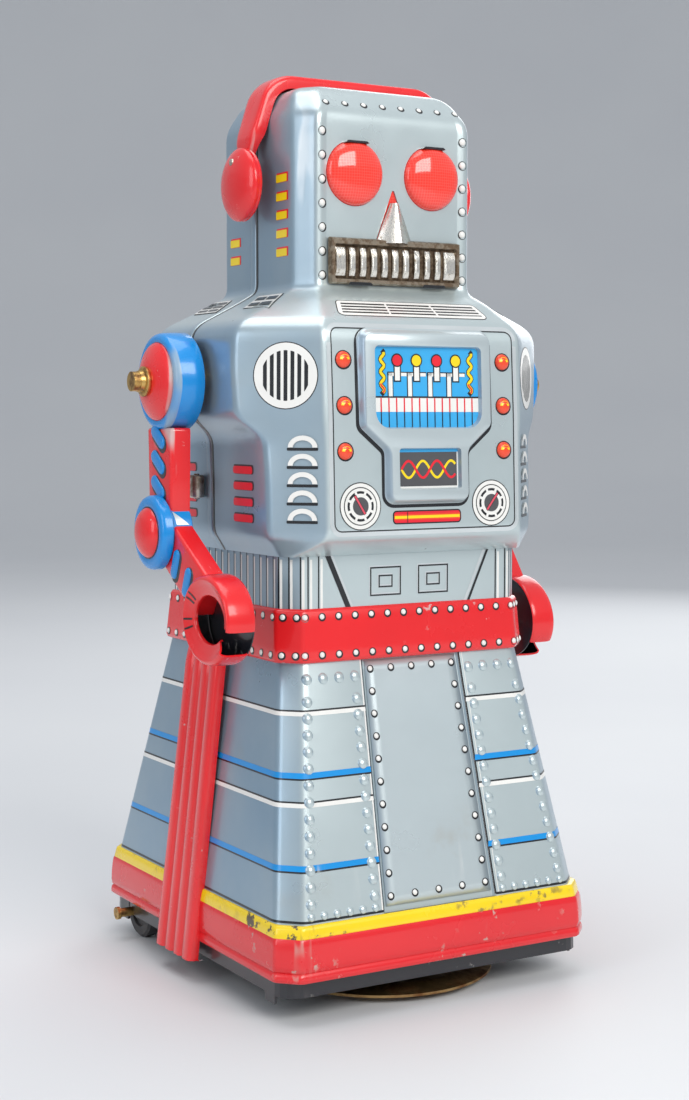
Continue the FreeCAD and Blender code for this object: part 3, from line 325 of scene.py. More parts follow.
def clean_mesh(obj):
    """Merge double points and point the faces outwards."""
    work = bmesh.new()
    work.from_mesh(obj.data)
    bmesh.ops.remove_doubles(work, verts=work.verts, dist=1e-6)
    bmesh.ops.recalc_face_normals(work, faces=work.faces)
    work.to_mesh(obj.data)
    work.free()


def shade_smooth(obj, angle):
    """Smooth shading, with folds sharper than the angle kept sharp."""
    polygons = obj.data.polygons
    polygons.foreach_set("use_smooth", [True] * len(polygons))
    obj.data.set_sharp_from_angle(angle=math.radians(angle))


def bake_modifiers(obj):
    graph = bpy.context.evaluated_depsgraph_get()
    baked = bpy.data.meshes.new_from_object(obj.evaluated_get(graph))
    obj.modifiers.clear()
    obj.data = baked


def thicken(obj, wall):
    modifier = obj.modifiers.new("wall", "SOLIDIFY")
    modifier.thickness = wall * MM
    modifier.offset = -1.0
    modifier.use_even_offset = True


def give_wall(obj, wall, angle):
    """Turn an open sheet into tin with a thickness."""
    thicken(obj, wall)
    bake_modifiers(obj)
    shade_smooth(obj, angle)


def grid_faces(rows, columns, closed=False):
    faces = []
    for r in range(rows - 1):
        for c in range(columns if closed else columns - 1):
            d = (c + 1) % columns
            faces.append((r * columns + c, r * columns + d, (r + 1) * columns + d, (r + 1) * columns
                          + c))
    return faces


def rounded_line(points, radii, steps=5, closed=False):
    """2D polyline with its corners rounded."""
    result = []
    count = len(points)
    for i, point in enumerate(points):
        p = Vector(point)
        radius = radii[i] if isinstance(radii, (list, tuple)) else radii
        if radius <= 0 or (not closed and i in (0, count - 1)):
            result.append(p)
            continue
        a = Vector(points[i - 1]) - p
        b = Vector(points[(i + 1) % count]) - p
        half = a.angle(b, 0.0) / 2
        if half > 1.569 or half < 0.01:
            result += [p] * (steps + 1)
            continue
        cut = min(radius / math.tan(half), a.length * 0.48, b.length * 0.48)
        radius = cut * math.tan(half)
        bisector = (a.normalized() + b.normalized()).normalized()
        centre = p + bisector * (radius / math.sin(half))
        start = p + a.normalized() * cut - centre
        end = p + b.normalized() * cut - centre
        sweep = start.angle_signed(end)
        for k in range(steps + 1):
            result.append(centre + Matrix.Rotation(-sweep * k / steps, 2) @ start)
    return [tuple(v) for v in result]


def circle(x, y, radius, steps=28, start=0.0, end=360.0):
    full = abs(end - start) >= 360.0
    count = steps if full else steps + 1
    points = []
    for k in range(count):
        angle = math.radians(start + (end - start) * k / steps)
        points.append((x + radius * math.cos(angle), y + radius * math.sin(angle)))
    return points


def box_outline(x0, x1, y0, y1, radius=0.0, steps=4):
    corners = [(x0, y0), (x1, y0), (x1, y1), (x0, y1)]
    return rounded_line(corners, radius, steps, True) if radius else corners


def between(a, b, n, first=0):
    """Points from a towards b in n steps, without b itself."""
    return [(a[0] + (b[0] - a[0]) * k / n, a[1] + (b[1] - a[1]) * k / n) for k in range(first, n)]


def planar(outline):
    return [Vector((a, b, 0)) for a, b in outline]


def lathe(profile, steps=56):
    """Closed surface turned round the X axis from (x, radius) points."""
    verts = [(x, y, z) for x, r in profile for y, z in circle(0, 0, r, steps)]
    return verts, grid_faces(len(profile), steps, True)


def shifted(verts, offset):
    o = Vector(offset)
    return [Vector(v) + o for v in verts]


def join(*parts):
    verts, faces = [], []
    for part_verts, part_faces in parts:
        base = len(verts)
        verts += part_verts
        faces += [tuple(i + base for i in face) for face in part_faces]
    return verts, faces


def mirrored(verts):
    return [Vector((-v[0], v[1], v[2])) for v in verts]


def swung(verts, degrees):
    turn = Matrix.Rotation(math.radians(degrees), 3, "X")
    pivot = Vector((0, SHOULDER[0], SHOULDER[1]))
    return [turn @ (Vector(v) - pivot) + pivot for v in verts]


# ---- printing on surfaces -----------------------------------------------------------------


class Sheet:
    """A place to print: shapes are drawn in u, v and thrown onto a target along a normal."""

    def __init__(self, target=None):
        self.verts, self.faces, self.slots = [], [], []
        self.tree = None
        if target is not None:
            graph = bpy.context.evaluated_depsgraph_get()
            self.tree = BVHTree.FromObject(target, graph)

    def frame(self, origin, u, v):
        self.origin, self.u, self.v = Vector(origin), Vector(u).normalized(), Vector(v).normalized()
        self.n = self.u.cross(self.v)
        return self

    def land(self, x, y, lift):
        """Point on the target at u = x, v = y, or on the drawing plane where nothing is hit."""
        point = self.origin + self.u * x + self.v * y
        if self.tree:
            start = (point + self.n * REACH) * MM
            hit = self.tree.ray_cast(start, -self.n, 2 * REACH * MM)
            if hit[0] is not None:
                normal = hit[1] if hit[1].dot(self.n) > 0 else -hit[1]
                return hit[0] / MM + normal * lift
        return point + self.n * lift

    def add(self, color, faces, base):
        self.faces += [tuple(base + i for i in face) for face in faces]
        self.slots += [INK_ORDER.index(color)] * len(faces)

    def patch(self, color, outline, holes=(), lift=INK):
        """Ink inside a closed outline, less its holes."""
        loops = [planar(loop) for loop in (outline, *holes)]
        flat = [p for loop in loops for p in loop]
        base = len(self.verts)
        self.verts += [self.land(p.x, p.y, lift) for p in flat]
        faces = []
        for tri in geometry.tessellate_polygon(loops):
            a, b, c = (flat[i] for i in tri)
            faces.append(tri if (b - a).cross(c - a).z > 0 else tri[::-1])
        self.add(color, faces, base)

    def border(self, color, outline, grow, shrink, lift, pitch=3.0):
        """Line along an outline, from grow outside it to shrink inside it."""
        outer, inner = (dense(inset(outline, edge), pitch) for edge in (-grow, shrink))
        self.patch(color, outer, [inner[::-1]], lift=lift)

    def dome(self, color, x, y, radius, height, lift=INK, rings=3, steps=14):
        """Small pressed dome."""
        base = len(self.verts)
        for r in range(rings):
            tilt = math.radians(90.0 * r / rings)
            rise = self.n * height * math.sin(tilt)
            self.verts += [self.land(px, py, lift) + rise
                           for px, py in circle(x, y, radius * math.cos(tilt), steps)]
        self.verts.append(self.land(x, y, lift) + self.n * height)
        top, last = rings * steps, (rings - 1) * steps
        cap = [(last + k, last + (k + 1) % steps, top) for k in range(steps)]
        self.add(color, grid_faces(rings, steps, True) + cap, base)

    def rivets(self, places, radius=0.95):
        """Printed rivets: a white dome on a black shadow at each (x, y)."""
        for x, y in places:
            self.patch("black", circle(x + 0.10, y - 0.14, radius + 0.42, 16), lift=INK)
            self.dome("white", x, y, radius, 0.45, lift=INK * 1.6, steps=12)

    def piece(self, name, body, slot="blue_grey_tin"):
        obj = new_object(name, self.verts, self.faces, INKS.values(), self.slots)
        shade_smooth(obj, 40)
        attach(obj, body)


def dense(outline, pitch=2.0):
    """Add points along a closed outline so that it can follow a bend."""
    points = []
    for i, a in enumerate(outline):
        b = outline[(i + 1) % len(outline)]
        points += between(a, b, max(1, int(math.dist(a, b) / pitch)))
    return points


# ---- head and chest -----------------------------------------------------------------------

# z, half flat, front y, half width, bevel end y, then how far the face lies behind the
# bevel's ridge
HEAD = (26.9, -34.8, 31.8, -27.4)
BODY_ROWS = [
    (134.9, 40.0, -44.4, 43.6, -41.0, 0.0),
    (136.4, 38.6, -47.5, 44.4, -40.6, 0.0),
    (140.8, 34.2, -54.2, 47.3, -41.0, 0.0),
    (158.0, 34.2, -53.6, 47.4, -40.6, 0.0),
    (170.0, 34.3, -53.2, 47.8, -39.6, 0.0),
    (176.5, 34.8, -53.0, 54.2, -33.6, 0.0),
    (190.0, 34.8, -52.2, 54.9, -33.0, 0.0),
    (201.0, 34.8, -51.6, 54.6, -33.2, 0.0),
    (204.5, 33.6, -49.5, 52.0, -32.6, 0.0),
    (211.5, 30.0, -40.6, 38.0, -29.6, 0.0),
    (215.0,) + HEAD + (0.3,),
    (218.0,) + HEAD + (0.7,),
    (266.2,) + HEAD + (0.7,),
    (268.2, 26.2, -34.2, 31.4, -26.6, 0.3),
    (274.4, 24.2, -28.2, 28.6, -23.0, 0.0),
    (276.6, 21.5, -25.4, 25.6, -20.6, 0.0),
    (277.3, 16.0, -20.0, 19.0, -16.0, 0.0),
    (277.5, 2.0, -7.0, 2.5, -6.5, 0.0),
]
CONTOUR_STEPS = (9, 4, 2, 26, 2, 4, 9)      # grid columns on each flat of a shell's outline
REAR_FLAT_Y = -53.6              # the chest's rear face, mirrored, is flatter than its front
REAR_NECK_Z, REAR_BLEND = 214.0, 12.0       # where that begins, and over what height
REAR_FOOT_Z, REAR_FOOT_Y, REAR_FOOT_SLOPE = 141.0, -50.4, -0.55


def smooth_rows(rows, pitch=1.4, width=2.2):
    """Resample rows along their profile and average them, which rounds every fold."""
    lengths = [0.0]
    for a, b in zip(rows, rows[1:]):
        lengths.append(lengths[-1] + math.hypot(b[0] - a[0], b[2] - a[2]) + 0.25 * abs(b[3] - a[3]))
    total = lengths[-1]

    def at(t):
        t = min(max(t, 0.0), total)
        i = max(k for k, length in enumerate(lengths[:-1]) if length <= t + 1e-9)
        f = (t - lengths[i]) / (lengths[i + 1] - lengths[i])
        return [p + (q - p) * f for p, q in zip(rows[i], rows[i + 1])]

    count = int(total / pitch)
    result = []
    for k in range(count + 1):
        t = total * k / count
        reach = min(width, t, total - t)
        samples = [at(t + reach * s) for s in (-1.0, -0.5, 0.0, 0.5, 1.0)]
        result.append([sum(column) / 5 for column in zip(*samples)])
    return result


def split_line(points, pitch):
    """Evenly resample a 2D polyline piece by piece, keeping its corners."""
    result = [points[0]]
    for a, b in zip(points, points[1:]):
        result += between(a, b, max(1, round(math.dist(a, b) / pitch)), 1) + [b]
    return result


def half_contour(flat, front, half, bevel, sink, seam):
    """Half of a shell's outline, from +X at the seam round the front to -X at the seam."""
    flat = min(flat, half - 0.5)
    ridge = min(3.3, flat * 0.3)
    right = [(half, seam), (half, bevel), (flat, front), (flat - ridge, front + sink)]
    left = [(-x, y) for x, y in reversed(right)]
    radii = [0.0, 4.2, 3.0, 1.6, 1.6, 3.0, 4.2, 0.0]
    return right + left, radii


def contour_points(row, seam, rear=False):
    """Same number of points at every height, so that rows join into a grid."""
    z, flat, front, half, bevel, sink = row
    if rear and z < REAR_NECK_Z:
        share = min(1.0, (REAR_NECK_Z - z) / REAR_BLEND)
        front += (max(front, REAR_FLAT_Y) - front) * share
    if rear and z < REAR_FOOT_Z:
        front = min(front, REAR_FOOT_Y + REAR_FOOT_SLOPE * (z - BODY_ROWS[0][0]))
    points, radii = half_contour(flat, front, half, bevel, sink, seam)
    line = rounded_line(points, radii, 4)
    spans = []
    i = 0
    for k, radius in enumerate(radii):
        if radius > 0:
            spans.append(line[i:i + 5])
            i += 5
        else:
            spans.append([line[i]])
            i += 1
    result = []
    for k in range(len(spans) - 1):
        result += spans[k]
        a, b = spans[k][-1], spans[k + 1][0]
        result += between(a, b, CONTOUR_STEPS[k], 1)
    result += spans[-1]
    return [(x, y, z) for x, y in result]


def body_half(rear):
    rows = smooth_rows(BODY_ROWS)
    seam = SEAM if not rear else SEAM - 0.9
    verts = []
    for row in rows:
        if rear:
            row[1], row[3] = row[1] - 0.35, row[3] - 0.45
        ring = contour_points(row, seam, rear)
        if rear:
            ring = [(x, max(2 * SEAM - y, seam), z) for x, y, z in ring]
        verts += ring
    columns = len(verts) // len(rows)
    top = tuple(range(len(verts) - columns, len(verts)))
    return verts, grid_faces(len(rows), columns) + [top]


def cutter(outline):
    """Tool that cuts an (x, z) outline through the face."""
    obj = new_object("cut", *bar_between(outline, *FACE_CUT_Y))
    clean_mesh(obj)
    return obj


def bar_between(outline, y0, y1):
    """Closed prism from an x, z outline, running along Y."""
    n = len(outline)
    verts = [(x, y0, z) for x, z in outline] + [(x, y1, z) for x, z in outline]
    faces = [tuple(range(n)), tuple(range(2 * n - 1, n - 1, -1))]
    faces += [(i, (i + 1) % n, n + (i + 1) % n, n + i) for i in range(n)]
    return verts, faces


EYES = (13.8, 249.9, 9.9)        # distance from the middle, height, radius
EYE_FLAT = 9.0                   # the opening is cut off flat this far above its middle
FACE_CUT_Y = (-45, -30)


def eye_outline(side):
    x, z, radius = EYES
    reach = math.degrees(math.asin(EYE_FLAT / radius))
    return circle(side * x, z, radius, 44, 180.0 - reach, 360.0 + reach)


def cut_openings(shell):
    nose = rounded_line([(-6.2, 229.6), (6.2, 229.6), (0.0, 246.4)], 0.5, 3, True)
    cutters = [cutter(outline) for outline in (eye_outline(-1), eye_outline(1), nose)]
    for tool in cutters:
        modifier = shell.modifiers.new("cut", "BOOLEAN")
        modifier.operation = "DIFFERENCE"
        modifier.solver = "EXACT"
        modifier.object = tool
    bake_modifiers(shell)
    for tool in cutters:
        bpy.data.objects.remove(tool)


def build_body_shells():
    front, rear = (make_piece(name + "_shell_tin", *body_half(name == "rear"), "robot",
                              "blue_grey_tin", [TIN_TONE], (name + "_body_shell",))
                   for name in ("front", "rear"))
    thicken(front, 0.55)
    cut_openings(front)
    shade_smooth(front, 32.0)
    give_wall(rear, 0.5, 32.0)
    return front, rear


def side_path():
    """Points (x, z) with outward directions, up one side of the shells and down the other."""
    rows = smooth_rows(BODY_ROWS)
    line = [(row[3], row[0]) for row in rows]
    line += [(-x, z) for x, z in reversed(line)]
    path = []
    for i, (x, z) in enumerate(line):
        a, b = Vector(line[max(0, i - 1)]), Vector(line[min(len(line) - 1, i + 1)])
        along = (b - a).normalized()
        path.append((Vector((x, z)), Vector((along.y, -along.x))))
    return path


def swept_side(profile):
    """Sweep a (y, lift) profile along the shells' joint."""
    verts = []
    for point, out in side_path():
        for y, lift in profile:
            verts.append((point.x + out.x * lift, y, point.y + out.y * lift))
    return verts, grid_faces(len(verts) // len(profile), len(profile))


def build_seam():
    """The rear shell's rolled lip and, before it, a black strip of painted shadow in the gap, as
    (y, lift) profiles.
    """
    lip = [(-4.1, -0.7), (-4.0, -0.1), (-3.6, 0.15), (-2.6, 0.2), (-1.2, 0.15), (-0.4, -0.05),
           (0.3, -0.5)]
    # Black strip along the joint: painted shadow in the gap between the shells.
    gap = [(-5.7, 0.04), (-5.5, 0.09), (-4.7, 0.07), (-4.0, -0.1), (-3.9, -0.6)]
    for name, profile, finish in (("seam_lip", lip, TIN_TONE), ("seam_gap_shadow", gap, INKS["black"])):
        make_piece(name, *swept_side(profile), "robot", "blue_grey_tin", [finish], angle=60.0)


def raised_plate(outline, y, height, soft, steps, holes):
    """Embossed field on a surface that faces -Y, with a rolled edge."""
    verts = []
    for k in range(steps + 1):
        t = k / steps
        rise = height * (0.5 - 0.5 * math.cos(math.pi * t))
        verts += [(px, y - rise, pz) for px, pz in inset(outline, soft * t)]
    n = len(outline)
    index = list(range(steps * n, len(verts)))
    for hole in holes:
        index += range(len(verts), len(verts) + len(hole))
        verts += [(px, y - height, pz) for px, pz in hole]
    loops = [planar(inset(outline, soft)), *map(planar, holes)]
    top = [tuple(index[i] for i in tri) for tri in geometry.tessellate_polygon(loops)]
    return verts, grid_faces(steps + 1, n, True) + top


def inset(outline, amount):
    """Move a closed anticlockwise outline inwards."""
    result = []
    n = len(outline)
    for i in range(n):
        a, p, b = (Vector(outline[j % n]) for j in (i - 1, i, i + 1))
        before, after = (p - a).normalized(), (b - p).normalized()
        normal_a = Vector((-before.y, before.x))
        normal_b = Vector((-after.y, after.x))
        middle = (normal_a + normal_b)
        if middle.length < 1e-6:
            middle = normal_a
        middle.normalize()
        scale = amount / max(0.5, middle.dot(normal_a))
        result.append(tuple(p + middle * scale))
    return result


HOUSING = rounded_line(
    [(-15.2, 150.0), (15.2, 150.0), (15.2, 166.0), (23.8, 173.2), (23.8, 202.6), (-23.8, 202.6),
     (-23.8, 173.2), (-15.2, 166.0)], [3.6, 3.6, 2.5, 3.5, 4.2, 4.2, 3.5, 2.5], 6, True)
WINDOW = (-18.9, 18.9, 172.9, 197.4)      # x and z ranges
SCREEN = (-11.0, 11.0, 154.7, 167.0)
CHEST_Y0, CHEST_Y1 = (-54.2, 140.8), (-51.6, 201.0)


def chest_y(z):
    (y0, z0), (y1, z1) = CHEST_Y0, CHEST_Y1
    return y0 + (y1 - y0) * (z - z0) / (z1 - z0)


def lean_back(verts, level):
    """Shear a flat relief so that it follows the chest's slight backward lean."""
    return [(x, y - level + chest_y(z), z) for x, y, z in verts]


def ring_wall(outline, y0, y1, lip=0.35):
    """Wall that goes back from the edge of a hole, ending a little inside it."""
    inner = inset(outline, lip)
    n = len(outline)
    verts = [(x, y0, z) for x, z in outline] + [(x, y1, z) for x, z in inner]
    return verts, grid_faces(2, n, True)


def build_housing():
    """Embossed instrument housing with a window and a screen sunk into it."""
    level, height, recess = -53.0, 2.7, 1.5
    window = rounded_line(box_outline(*WINDOW), [5.0, 5.0, 1.6, 1.6], 6, True)
    screen = box_outline(*SCREEN, 1.0)
    top, back = level - height, level - height + recess
    plate = raised_plate(HOUSING, level, height, 1.9, 6, (window, screen))
    walls = [ring_wall(loop, top, back) for loop in (window, screen)]
    verts, faces = join(plate, *walls)
    make_piece("instrument_housing", lean_back(verts, level), faces, "robot", "blue_grey_tin",
               [HATCH_TONE], ("front_body_shell",), angle=50.0)
    art = Sheet().frame((0, 0, 0), ACROSS, UP)
    window_art(art, inset(window, 0.2))
    screen_art(art, inset(screen, 0.2))
    art.verts = [Vector((v.x, v.y + back + chest_y(v.z) - level, v.z)) for v in art.verts]
    art.piece("instrument_print", "robot")


def clip_to(outline, x0, x1, z0, z1):
    """Part of a convex outline inside a rectangle."""
    poly = [Vector(p) for p in outline]
    planes = [(Vector((1, 0)), x0), (Vector((-1, 0)), -x1), (Vector((0, 1)), z0),
              (Vector((0, -1)), -z1)]
    for normal, limit in planes:
        kept = []
        for i, p in enumerate(poly):
            q = poly[(i + 1) % len(poly)]
            dp, dq = p.dot(normal) - limit, q.dot(normal) - limit
            if dp >= 0:
                kept.append(p)
            if dp * dq < 0:
                kept.append(p + (q - p) * (dp / (dp - dq)))
        poly = kept
    return [tuple(p) for p in poly]


def stroke(points, width):
    """Closed outline of a line of constant width through 2D points."""
    left, right = [], []
    for i, point in enumerate(points):
        p = Vector(point)
        a = Vector(points[max(0, i - 1)])
        b = Vector(points[min(len(points) - 1, i + 1)])
        along = (b - a).normalized()
        side = Vector((-along.y, along.x)) * width / 2
        left.append(tuple(p + side))
        right.append(tuple(p - side))
    return right + left[::-1]


def window_art(art, outline):
    """Keys below, four levers and two wires above."""
    x0, x1, z0, z1 = WINDOW
    strip, keys = z0 + 9.2, z0 + 4.9
    art.patch("sky", outline, lift=0.0)
    art.patch("white", clip_to(outline, x0, x1, keys, strip), lift=0.05)
    art.patch("black", clip_to(outline, x0, x1, strip - 0.15, strip + 0.35), lift=0.08)
    pitch = (x1 - x0) / 14
    for k in range(1, 14):
        x = x0 + k * pitch
        art.patch("red", clip_to(outline, x - 0.24, x + 0.24, keys, strip - 0.2), lift=0.08)
        art.patch("black", clip_to(outline, x - 0.17, x + 0.17, z0, keys), lift=0.08)
    stem_top, base = z1 - 5.6, z0 + 14.6
    for x, knob in ((-10.4, "red"), (-3.6, "yellow"), (3.6, "red"), (10.4, "yellow")):
        rail = x - 3.1
        for color, edges, lift in (
                ("black", (rail - 0.35, x + 3.5, base + 1.0, base + 2.2), 0.05),
                ("white", (rail, x + 3.3, base + 0.9, base + 1.9), 0.08),
                ("black", (rail - 0.35, rail + 1.7, strip + 0.3, base + 1.9), 0.05),
                ("white", (rail, rail + 1.4, strip + 0.3, base + 1.9), 0.08),
                ("black", (x - 1.25, x + 1.3, base - 0.8, stem_top), 0.10),
                ("white", (x - 0.85, x + 0.9, base - 0.4, stem_top), 0.12)):
            art.patch(color, box_outline(*edges), lift=lift)
        art.patch("black", circle(x, stem_top + 1.3, 2.05, 20), lift=0.13)
        art.patch(knob, circle(x, stem_top + 1.3, 1.65, 20), lift=0.16)
    for side in (-1, 1):
        points = []
        for k in range(25):
            z = z1 - 1.4 - (z1 - 2.2 - strip) * k / 24
            points.append((side * 15.6 + 0.65 * math.sin(k * 0.95), z))
        art.patch("black", stroke(points, 1.5), lift=0.05)
        art.patch("yellow", stroke(points[1:-1], 0.95), lift=0.09)
        art.patch("red", stroke(points[18:-1], 0.55), lift=0.11)


def screen_art(art, outline):
    """Dark screen in a blue edge, with two waves."""
    x0, x1, z0, z1 = SCREEN
    art.patch("white", outline, lift=0.0)
    art.patch("sky", clip_to(outline, x0, x0 + 0.9, z0, z1), lift=0.04)
    art.patch("sky", clip_to(outline, x0, x1, z1 - 1.2, z1), lift=0.04)
    art.patch("screen", box_outline(x0 + 0.9, x1 - 0.8, z0 + 0.9, z1 - 1.2), lift=0.06)
    middle = (z0 + z1) / 2 - 0.2
    for color, phase, lift in (("yellow", math.pi, 0.09), ("red", 0.0, 0.11)):
        points = []
        for k in range(61):
            x = x0 + 1.4 + (x1 - x0 - 2.8) * k / 60
            points.append((x, middle + 2.5 * math.sin(phase + 2 * math.pi * 1.9 * k / 60)))
        art.patch(color, stroke(points, 0.75), lift=lift)


def lights_and_dials(sheet):
    """Chest panel: its outline, the housing's shadow, lamps, dials and the bar below."""
    panel = box_outline(-32.2, 32.2, 142.6, 202.4, 2.4, 5)
    sheet.border("light", panel, 1.5, 0.0, 0.05)
    sheet.border("black", panel, 0.15, 0.22, 0.07)
    shadow = [(x * 1.003 - 0.25, z - 0.4) for x, z in inset(HOUSING, -0.35)]
    sheet.patch("black", dense(shadow, 2.5), lift=0.06)
    for side in (-1, 1):
        for z in (193.1, 179.7, 166.2):
            lamp(sheet, side * 28.3, z)
        dial(sheet, side * 23.4, 150.0, 52.0 if side > 0 else 122.0)
    bar = box_outline(-12.2, 12.2, 144.3, 148.4, 1.2)
    inner = inset(bar, 0.42)
    for color, outline, lift in (
            ("black", bar, 0.06), ("red", inner, 0.10),
            ("orange", clip_to(inner, -12, 12, 145.5, 147.3), 0.13),
            ("yellow", clip_to(inner, -11.6, 11.6, 145.95, 146.8), 0.16),
            ("black", box_outline(-7.2, -6.95, 144.8, 147.9), 0.18)):
        sheet.patch(color, outline, lift=lift)


def lamp(sheet, x, z):
    sheet.patch("black", circle(x + 0.1, z - 0.1, 2.85, 28), lift=0.06)
    sheet.dome("orange", x, z, 2.45, 1.25, lift=0.09, rings=5, steps=24)
    arc = circle(x, z - 0.1, 1.65, 16, 5.0, 175.0)
    crescent = arc + circle(x, z - 0.1, 0.8, 16, 175.0, 5.0)
    base = len(sheet.verts)
    sheet.patch("yellow", crescent, lift=0.0)
    for i in range(base, len(sheet.verts)):
        v = sheet.verts[i]
        reach = math.hypot(v.x - x, v.z - z)
        sheet.verts[i] = v + sheet.n * (0.13 + 1.27 * math.sqrt(max(0.0, 1 - (reach / 2.45) ** 2)))


def dial(sheet, x, z, aim):
    """Knob with a scale ring and a pointer."""
    for color, radius, lift in (("black", 7.1, 0.06), ("white", 6.8, 0.09), ("black", 5.7, 0.12),
                                ("white", 5.4, 0.15), ("black", 4.5, 0.18), ("white", 3.75, 0.21)):
        sheet.patch(color, circle(x, z, radius, 40), lift=lift)
    for k in range(8):
        a = math.radians(45.0 * k + 22.5)
        points = [(x + r * math.cos(a), z + r * math.sin(a)) for r in (3.5, 4.75)]
        sheet.patch("white", stroke(points, 0.8), lift=0.24)
    sheet.patch("screen", circle(x, z, 2.7, 30), lift=0.25)
    a = math.radians(aim)
    for color, width, reach, lift in (("black", 0.95, 3.8, 0.27), ("pink", 0.62, 3.65, 0.29)):
        points = [(x + t * reach * math.cos(a), z + t * reach * math.sin(a)) for t in (-0.75, 1.0)]
        sheet.patch(color, stroke(points, width), lift=lift)


def grille(sheet, outline, cells_u, cells_v, margin=1.3, bar=0.9):
    """White printed grille with dark cells, drawn in a 4-point outline's own directions."""
    a, b, c, d = (Vector(p) for p in outline)
    ring = rounded_line(outline, margin, 4, True)
    sheet.patch("black", dense(inset(ring, -0.3), 2.2), lift=0.05)
    sheet.patch("white", dense(ring, 2.2), lift=0.09)
    width, height = (b - a).length, (d - a).length

    def place(u, v):
        low, high = a.lerp(b, u), d.lerp(c, u)
        return tuple(low.lerp(high, v))

    cell_w = (width - 2 * margin - bar * (cells_u - 1)) / cells_u
    cell_h = (height - 2 * margin * 0.8 - bar * (cells_v - 1)) / cells_v
    for i in range(cells_u):
        for j in range(cells_v):
            u0 = (margin + i * (cell_w + bar)) / width
            v0 = (margin * 0.8 + j * (cell_h + bar)) / height
            u1, v1 = u0 + cell_w / width, v0 + cell_h / height
            cell = [place(u0, v0), place(u1, v0), place(u1, v1), place(u0, v1)]
            sheet.patch("black", dense(cell, 2.2), lift=0.13)


def shoulder_grille(sheet, lean, rows):
    """Small leaning grille of two columns; lean is the side its lower end goes to."""
    def place(u, v):
        return (u * 1.18 + lean * v * 0.6, v * 1.1)

    def box(u0, u1, v0, v1):
        return dense([place(u0, v0), place(u1, v0), place(u1, v1), place(u0, v1)], 1.6)

    sheet.patch("black", box(-6.9, 6.9, -4.3, 4.3), lift=0.12)
    sheet.patch("white", box(-6.6, 6.6, -4.0, 4.0), lift=0.20)
    pitch = 7.2 / rows
    for row in range(rows):
        v = -3.6 + pitch * (row + 0.5)
        for u in (-5.8, 0.45):
            sheet.patch("black", box(u, u + 5.35, v - pitch * 0.28, v + pitch * 0.28), lift=0.28)


def speaker(sheet, radius=9.6):
    sheet.patch("black", circle(0, 0, radius + 0.3, 44), lift=0.05)
    sheet.patch("white", circle(0, 0, radius, 44), lift=0.08)
    inner = circle(0, 0, radius - 2.2, 44)
    bars = 7
    pitch = 2 * (radius - 2.2) / (bars + 0.1)
    for k in range(bars):
        x = -(radius - 2.2) + (k + 0.55) * pitch
        sheet.patch("black", clip_to(inner, x - pitch * 0.28, x + pitch * 0.28, -20, 20), lift=0.12)


def louvres(sheet, count=5, pitch=5.35):
    """Half-round louvres pressed up over dark slots."""
    for k in range(count):
        z = (count - 1) / 2 * pitch - k * pitch - 0.9
        hood, inner = (
            [(x, z + (y - z) * squash) for x, y in circle(0, z, radius, 16, 0.0, 180.0)]
            for radius, squash in ((4.5, 0.78), (3.0, 0.70)))
        sheet.patch("light", hood + inner[::-1], lift=0.10)
        sheet.patch("white", hood + inner[::-1], lift=0.55)
        sheet.patch("black", box_outline(-4.9, 4.6, z - 0.95, z - 0.1, 0.2, 2), lift=0.14)


def slot_row(sheet, colors, count, pitch, width, height, radius=0.9):
    """Column of printed slots with a darker shadow behind each."""
    front, back = colors
    for k in range(count):
        z = (count - 1) / 2 * pitch - k * pitch
        shadow = box_outline(-width / 2 + 0.3, width / 2 + 0.8, z - height / 2 - 0.1, z + height / 2
                             + 0.5, radius, 3)
        face = box_outline(-width / 2, width / 2, z - height / 2, z + height / 2, radius, 3)
        sheet.patch(back, shadow, lift=0.05)
        sheet.patch(front, face, lift=0.09)


def print_body(front, rear):
    """Everything printed on the two body shells."""
    face = Sheet(front)
    face.frame((0, -40, 0), ACROSS, UP)
    for side in (-1, 1):
        face.rivets([(side * 25.2, 261.9 - k * 7.15) for k in range(7)], 1.05)
    lights_and_dials(face)
    face.frame((0, -31.4, 270.6), ACROSS, (0, 7.2, 7.4))
    face.rivets([(-22.4 + k * 46.6 / 7, 0.2) for k in range(8)], 0.8)
    face.frame((0, -44.8, 209.2), ACROSS, (0, 11.0, 9.0))
    grille(face, [(-26.8, -3.6), (26.8, -3.6), (24.6, 3.7), (-24.6, 3.7)], 3, 4, 1.5, 0.8)
    for side in (-1, 1):
        face.frame((side * 43.3, -44.4, 188.4), (0.73, 0.68 * side, 0), UP)
        speaker(face)
        face.frame((side * 40.0, -48.6, 157.6), (0.71, 0.70 * side, 0), UP)
        louvres(face)
        u = (0, side, 0)
        face.frame((side * 46.5, -25.0, 153.1), u, UP)
        slot_row(face, ("red", "grey"), 4, 4.85, 12.6, 2.3)
        face.frame((side * 32, -21.0, 237.5), u, UP)
        slot_row(face, ("yellow", "red"), 5, 5.6, 6.8, 2.3, 0.3)
        face.frame((side * 38.6, -22.0, 211.2), u, (-side * 15.5, 0, 11.0))
        shoulder_grille(face, side, 2)
    face.piece("front_shell_print", "robot")
    back = Sheet(rear)
    for side in (-1, 1):
        u = (0, side, 0)
        back.frame((side * 46.0, 14.5, 153.1), u, UP)
        slot_row(back, ("red", "grey"), 4, 4.85, 12.6, 2.3)
        back.frame((side * 32, 11.0, 228.6), u, UP)
        slot_row(back, ("yellow", "red"), 2, 5.6, 6.4, 2.3, 0.3)
        back.frame((side * 39.0, 12.0, 211.0), u, (-side * 15.5, 0, 11.0))
        shoulder_grille(back, side, 3)
    back.frame((0, 40, 0), ACROSS_BACK, UP)
    back_panel(back)
    back.piece("rear_shell_print", "robot")


